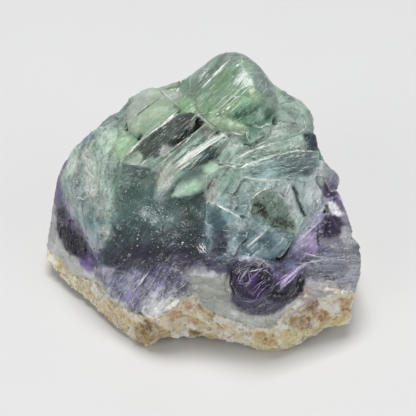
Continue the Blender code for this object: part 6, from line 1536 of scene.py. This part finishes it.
# the same over every side, where the growth lines run
chance = streak * (1 - crusty) * np.where(seen > 0.5, 0.25, 1.0) * (co[:, 2] > 2)
for i in rng.choice(count, 1000, replace=False, p=chance / chance.sum()):
    length = rng.uniform(0.8, 2.2) if rng.random() < 0.6 else rng.uniform(2.5, 7.0)
    found = settled(co[i], along[i], length, 5)
    if found is None:
        continue
    shade = tint[i] * 0.5 + linear((204, 216, 214)) * rng.uniform(0.15, 0.55)
    add_sliver(*found, rng.uniform(0.07, 0.15), rng.uniform(0.08, 0.2), shade)
# veils sealed in the clear crystals
chance = smooth(clearness, 0.35, 0.6) * (1 - crusty) * np.where(seen > 0.5, 1.0, 0.4) * (co[:, 2] > 8)
for i in rng.choice(count, 420, replace=False, p=chance / chance.sum()):
    found = settled(co[i], along[i], rng.uniform(1.5, 6.0), 5)
    if found is None:
        continue
    deep = rng.uniform(0.6, 3.2)
    add_sliver(found[0] - found[1] * deep, found[1], rng.uniform(0.08, 0.3), 0.05, tint[i] * 0.3 + linear((224, 236, 226)) * rng.uniform(0.4, 0.7))
laths = sliver_piece("cleavage_slivers")


def crystal_shapes(rng, kinds, points):
    """Small irregular convex crystals of unit size."""
    made = []
    for _ in range(kinds):
        cloud_of = unit(rng.normal(size=(points, 3))) * rng.uniform(0.8, 1.0, (points, 1))
        shape = bmesh.new()
        for p in cloud_of:
            shape.verts.new(p)
        found = bmesh.ops.convex_hull(shape, input=shape.verts)
        inside = {g for g in found["geom_interior"] + found["geom_unused"] if isinstance(g, bmesh.types.BMVert)}
        bmesh.ops.delete(shape, geom=list(inside), context="VERTS")
        bmesh.ops.triangulate(shape, faces=shape.faces)
        shape.verts.index_update()
        made.append((np.array([v.co for v in shape.verts]), np.array([[v.index for v in f.verts] for f in shape.faces])))
        shape.free()
    return made


def turned(normals, rng, tilt):
    """Rotation matrices whose third axis is near each normal."""
    n = unit(normals + rng.normal(size=normals.shape) * tilt)
    side = unit(np.cross(n, rng.normal(size=n.shape)))
    return np.stack([side, np.cross(n, side), n], axis=2)


def scatter(points, spacing, rng):
    """Picks points no closer to each other than their spacing."""
    order = rng.permutation(len(points))
    cells, kept = {}, []
    size = float(np.max(spacing))
    keys = (points // size).astype(int)
    for i in order:
        p = points[i]
        x, y, z = keys[i]
        room = True
        for key in ((x + dx, y + dy, z + dz) for dx in (-1, 0, 1) for dy in (-1, 0, 1) for dz in (-1, 0, 1)):
            for j in cells.get(key, ()):
                q = points[j]
                if (q[0] - p[0]) ** 2 + (q[1] - p[1]) ** 2 + (q[2] - p[2]) ** 2 < (0.5 * (spacing[i] + spacing[j])) ** 2:
                    room = False
                    break
            if not room:
                break
        if room:
            cells.setdefault((x, y, z), []).append(i)
            kept.append(i)
    return np.array(kept)


def joined(name, shapes, places, turns, sizes, colours, rng):
    """One mesh of many small shapes; sizes are (n, 3) half sizes in millimetres."""
    verts, faces, tones, start = [], [], [], 0
    kind = rng.integers(0, len(shapes), len(places))
    for i, k in enumerate(kind):
        v, f = shapes[k]
        verts.append((v * sizes[i]) @ turns[i].T + places[i])
        faces.append(f + start)
        tones.append(np.repeat(colours[i][None], len(v), axis=0))
        start += len(v)
    verts, faces, tones = np.vstack(verts), np.vstack(faces), np.vstack(tones)
    verts[:, 2] = np.maximum(verts[:, 2], 0.02)
    data = bpy.data.meshes.new(name)
    data.from_pydata((verts * MM).tolist(), [], faces.tolist())
    put(data, "tint", tones, "FLOAT_COLOR")
    data.update()
    obj = bpy.data.objects.new(name, data)
    bpy.context.scene.collection.objects.link(obj)
    print(name, "pieces", len(places), "triangles", len(faces))
    return obj


# frost: small chips where the crystal is bruised white
rng = np.random.default_rng(8)
chance = (np.clip(frost, 0, 1) ** 1.5 + 0.05 * speck + 0.03 * veil) * (1 - crusty) * (co[:, 2] > 2)
picked = rng.choice(count, 4200, replace=False, p=chance / chance.sum())
half = rng.uniform(0.07, 0.2, len(picked))
sizes = np.stack([half * rng.uniform(0.8, 2.2, len(picked)), half, half * 0.7], axis=1)
tones = tint[picked] * 0.4 + linear((216, 226, 226)) * rng.uniform(0.3, 0.7, (len(picked), 1))
places, facing = co[picked], no[picked]
# bright and dark grains on the view: outline, number, smallest and largest half width in mm, colour
GRAINS = [([(112, 168), (150, 168), (160, 190), (206, 196), (208, 262), (104, 262), (112, 200)], 260, 0.08, 0.34, (220, 228, 226)), ([(118, 170), (152, 168), (158, 200), (120, 210)], 70, 0.1, 0.3, (206, 220, 214)), ([(150, 236), (206, 232), (206, 262), (150, 266)], 60, 0.1, 0.3, (214, 214, 222)),
          ([(138, 206), (158, 204), (172, 214), (166, 224), (140, 220)], 130, 0.12, 0.36, (190, 208, 206)), ([(186, 206), (206, 204), (206, 250), (190, 246)], 90, 0.08, 0.24, (216, 222, 222)),
          ([(196, 246), (204, 243), (208, 250), (204, 256), (198, 252)], 40, 0.14, 0.34, (236, 236, 240)), ([(118, 172), (150, 170), (156, 188), (120, 196)], 60, 0.08, 0.2, (196, 210, 204)),
          ([(140, 146), (176, 118), (204, 120), (180, 146), (160, 160)], 80, 0.07, 0.18, (214, 222, 216)), ([(252, 200), (264, 190), (280, 195), (296, 232), (270, 226)], 170, 0.1, 0.28, (146, 166, 148)), ([(139, 207), (149, 206), (151, 217), (141, 218)], 60, 0.15, 0.4, (212, 224, 226)),
          ([(252, 200), (264, 190), (280, 195), (296, 232), (270, 226)], 190, 0.1, 0.36, (30, 36, 34)), ([(210, 206), (250, 212), (290, 240), (280, 262), (212, 258)], 150, 0.08, 0.22, (196, 210, 212)),
          ([(244, 174), (300, 156), (318, 158), (306, 176), (270, 180)], 70, 0.07, 0.18, (206, 216, 212)), ([(232, 262), (268, 262), (272, 296), (250, 300), (232, 290)], 70, 0.07, 0.18, (160, 150, 184)),
          ([(262, 292), (300, 284), (292, 306), (250, 310), (236, 302)], 90, 0.07, 0.18, (170, 166, 186)), ([(304, 256), (356, 254), (358, 284), (306, 284)], 110, 0.07, 0.18, (196, 196, 208)),
          ([(104, 268), (190, 262), (190, 296), (150, 312), (124, 296)], 130, 0.08, 0.22, (220, 220, 230)), ([(60, 208), (70, 212), (90, 244), (84, 262), (60, 236)], 60, 0.07, 0.18, (130, 118, 150)),
          ([(74, 160), (108, 150), (110, 220), (80, 212)], 120, 0.08, 0.2, (214, 222, 212)), ([(222, 140), (300, 120), (312, 150), (240, 166)], 90, 0.07, 0.18, (222, 232, 224)),
          ([(200, 92), (246, 60), (268, 90), (270, 118), (214, 120)], 70, 0.06, 0.16, (228, 238, 230)), ([(236, 180), (300, 184), (300, 226), (246, 216)], 80, 0.07, 0.18, (214, 224, 220)),
          ([(146, 308), (176, 298), (188, 306), (172, 322), (150, 322)], 90, 0.1, 0.24, (232, 228, 224)), ([(60, 262), (100, 284), (136, 314), (128, 322), (56, 268)], 90, 0.1, 0.24, (232, 224, 204)),
          ([(56, 208), (66, 210), (76, 224), (88, 236), (98, 252), (98, 264), (86, 264), (74, 256), (60, 240)], 260, 0.12, 0.42, (20, 10, 32)), ([(56, 208), (66, 210), (76, 224), (88, 236), (98, 252), (98, 264), (86, 264), (74, 256), (60, 240)], 130, 0.1, 0.3, (112, 96, 140)),
          ([(58, 212), (70, 216), (92, 248), (84, 260), (62, 238)], 40, 0.08, 0.24, (206, 200, 216)),
          ([(44, 248), (60, 263), (92, 286), (134, 316), (138, 340), (118, 330), (90, 304), (58, 274), (44, 258)], 420, 0.2, 0.75, (236, 216, 172)),
          ([(44, 248), (60, 263), (92, 286), (134, 316), (138, 340), (118, 330), (90, 304), (58, 274), (44, 258)], 220, 0.14, 0.45, (246, 240, 224)),
          ([(206, 318), (246, 324), (284, 336), (330, 318), (350, 300), (350, 320), (300, 345), (262, 354), (226, 342), (206, 334)], 420, 0.18, 0.6, (240, 222, 184)),
          ([(206, 318), (246, 324), (284, 330), (330, 312), (350, 300), (346, 316), (300, 338), (262, 346), (226, 340), (206, 332)], 260, 0.12, 0.4, (248, 242, 226))]
for outline, number, low, high, colour in GRAINS:
    c = np.array(outline, float)
    p = rng.uniform(c.min(axis=0), c.max(axis=0), (number * 4, 2))
    p = p[to_line(c, p, True)[1]][:number]
    heart = c.mean(axis=0) + rng.normal(size=(5, 2)) * (c.max(axis=0) - c.min(axis=0)) * 0.25
    near_heart = np.min(np.linalg.norm(p[:, None] - heart[None], axis=2), axis=1)
    p = p[rng.random(len(p)) < 0.35 + 0.65 * np.exp(-near_heart / 8)]
    found = [f for f in (on_ray(*uv) for uv in p) if f is not None]
    size = low + (high - low) * rng.random(len(found)) ** 2.5
    places = np.vstack([places, [f[0] for f in found]])
    facing = np.vstack([facing, [f[1] for f in found]])
    sizes = np.vstack([sizes, np.stack([size * rng.uniform(1, 2, len(found)), size, size * 0.6], axis=1)])
    tones = np.vstack([tones, linear(colour) * rng.uniform(0.5 if sum(colour) < 600 else 0.72, 1.0, (len(found), 1))])
chips = joined("frost_chips", crystal_shapes(rng, 12, 7), places, turned(facing, rng, 0.3), sizes, tones, rng)

# quartz crystals that stand in the crust
rng = np.random.default_rng(11)
ground = np.nonzero((crusty > 0.9) & (no[:, 2] > -0.8) & (co[:, 2] > 1.6) & (V + 0 * U > np.interp(U, [180, 320, 360], [0, 296, 302])))[0]
spacing = rng.uniform(1.5, 3.0, count)
kept = ground[scatter(co[ground], spacing[ground], rng)]
kept = kept[rng.random(len(kept)) < 0.55]
half = spacing[kept] * 0.5
sizes = np.stack([half * rng.uniform(0.7, 1.05, len(kept)), half * rng.uniform(0.7, 1.05, len(kept)), half * rng.uniform(0.7, 1.0, len(kept))], axis=1)
places = co[kept] - no[kept] * (half * 0.72)[:, None]
tones = tint[kept] * rng.uniform(0.94, 1.12, (len(kept), 1))
crust = joined("quartz_crystals", crystal_shapes(rng, 16, 12), places, turned(no[kept], rng, 0.5), sizes, tones, rng)
grit_at = np.nonzero((crusty > 0.35) & (no[:, 2] > -0.7) & (co[:, 2] > 0.9))[0]
gap_of = rng.uniform(0.7, 1.3, count)
few = grit_at[scatter(co[grit_at], gap_of[grit_at], rng)]
few = few[(rng.random(len(few)) < 0.25) & (V[few] > np.interp(U[few], [180, 320, 360], [0, 298, 304]))]
half = gap_of[few] * 0.42
sizes = np.stack([half, half * rng.uniform(0.7, 1.0, len(few)), half * rng.uniform(0.6, 1.0, len(few))], axis=1)
tones = tint[few] * 0.8 + linear((232, 222, 198)) * rng.uniform(0.1, 0.25, (len(few), 1))
sugar = joined("quartz_sugar", crystal_shapes(rng, 10, 7), co[few] - no[few] * 0.05, turned(no[few], rng, 0.8), sizes, tones, rng)


def small_material(name, rough_low, rough_high, through, ior, spots_scale, dark, gloss=0.5):
    m = Net(name)
    tint = m.attr("tint", "Color")
    spots = m.noise(spots_scale, 6, 0.65, 0.4)
    colour = m.blend(m.ramp(spots, 0.45, 0.7, 0.0, 0.45), tint, m.blend(0.5, tint, rgba((246, 242, 234))))
    colour = m.blend(m.ramp(spots, 0.45, 0.3, 0.0, dark), colour, m.blend(1.0, colour, rgba((176, 168, 160)), "MULTIPLY"))
    m.put(m.shader, "Base Color", colour)
    m.put(m.shader, "Roughness", m.ramp(spots, 0.3, 0.7, rough_low, rough_high))
    m.put(m.shader, "Transmission Weight", m.ramp(spots, 0.35, 0.6, through, through * 0.3))
    m.put(m.shader, "IOR", ior)
    m.put(m.shader, "Specular IOR Level", gloss)
    m.put(m.shader, "Normal", m.bump(m.noise(3.2, 4, 0.6), 0.3, 0.00015))
    return m.material


quartz = small_material("quartz", 0.2, 0.5, 0.3, 1.54, 0.9, 0.3)
cleavage = small_material("cleavage", 0.12, 0.35, 0.06, 1.434, 2.0, 0.05, 0.9)
for piece, look in ((crust, quartz), (sugar, quartz), (laths, cleavage), (chips, cleavage)):
    piece.data.materials.append(look)
    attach(piece, "root")


# ---------------------------------------------------------------- floor, light and camera
def floor_material():
    m = Net("studio_floor")
    soft = m.noise(0.02, 2, 0.5)
    m.put(m.shader, "Base Color", m.blend(soft, (0.772, 0.772, 0.769, 1), (0.792, 0.792, 0.789, 1)))
    m.put(m.shader, "Roughness", m.ramp(m.noise(0.8, 3), 0.3, 0.7, 0.6, 0.7))
    m.put(m.shader, "Normal", m.bump(m.noise(2.0, 3), 0.05, 0.0001))
    return m.material


def sweep():
    """Pale floor that runs up into a backdrop."""
    shape = bmesh.new()
    profile = [(-1.6, 0.0), (-0.6, 0.0), (0.4, 0.0), (0.9, 0.0), (1.15, 0.03), (1.35, 0.12), (1.48, 0.28), (1.54, 0.5), (1.56, 0.9), (1.56, 1.6)]
    rows = []
    for y, z in profile:
        rows.append([shape.verts.new((x, y, z)) for x in np.linspace(-2.0, 2.0, 9)])
    for a, b in zip(rows, rows[1:]):
        for i in range(8):
            shape.faces.new((a[i], a[i + 1], b[i + 1], b[i]))
    data = bpy.data.meshes.new("studio_floor")
    shape.to_mesh(data)
    shape.free()
    data.shade_smooth()
    obj = bpy.data.objects.new("studio_floor", data)
    bpy.context.scene.collection.objects.link(obj)
    data.materials.append(floor_material())
    return obj


sweep()


def area(name, place, target, size, power, colour=(1, 1, 1)):
    data = bpy.data.lights.new(name, "AREA")
    data.shape = "RECTANGLE"
    data.size, data.size_y = size
    data.energy = power
    data.color = colour
    obj = bpy.data.objects.new(name, data)
    obj.location = place
    obj.rotation_euler = (Vector(target) - Vector(place)).to_track_quat("-Z", "Y").to_euler()
    bpy.context.scene.collection.objects.link(obj)
    return obj


area("key", (-0.04, 0.09, 1.2), (0, 0, 0.02), (0.6, 0.45), 9.6, (1.0, 0.998, 0.99))
area("front_left", (-0.75, -0.85, 0.75), (0, 0, 0.03), (0.6, 0.6), 2.1, (1.0, 0.995, 0.985))
area("front_right", (0.85, -0.65, 0.80), (0, 0, 0.03), (0.6, 0.6), 1.6, (0.98, 0.99, 1.0))

world = bpy.data.worlds.new("studio")
world.use_nodes = True
world.node_tree.nodes["Background"].inputs[0].default_value = (0.95, 0.965, 1.0, 1)
world.node_tree.nodes["Background"].inputs[1].default_value = 0.31
bpy.context.scene.world = world
bpy.context.scene.view_settings.view_transform = "Standard"
bpy.context.scene.view_settings.look = "None"

camera_data = bpy.data.cameras.new("camera")
camera_data.sensor_fit = "HORIZONTAL"
camera_data.sensor_width = 36.0
camera_data.lens = 36.0 * VIEW_DISTANCE / (VIEW_SIDE * UNIT_MM)
camera_data.clip_start = 0.01
camera_data.clip_end = 20
camera = bpy.data.objects.new("camera", camera_data)
turn = Matrix((RIGHT, UP, -FORWARD)).transposed().to_4x4()
turn.translation = Vector(EYE * MM)
camera.matrix_world = turn
bpy.context.scene.collection.objects.link(camera)
bpy.context.scene.camera = camera
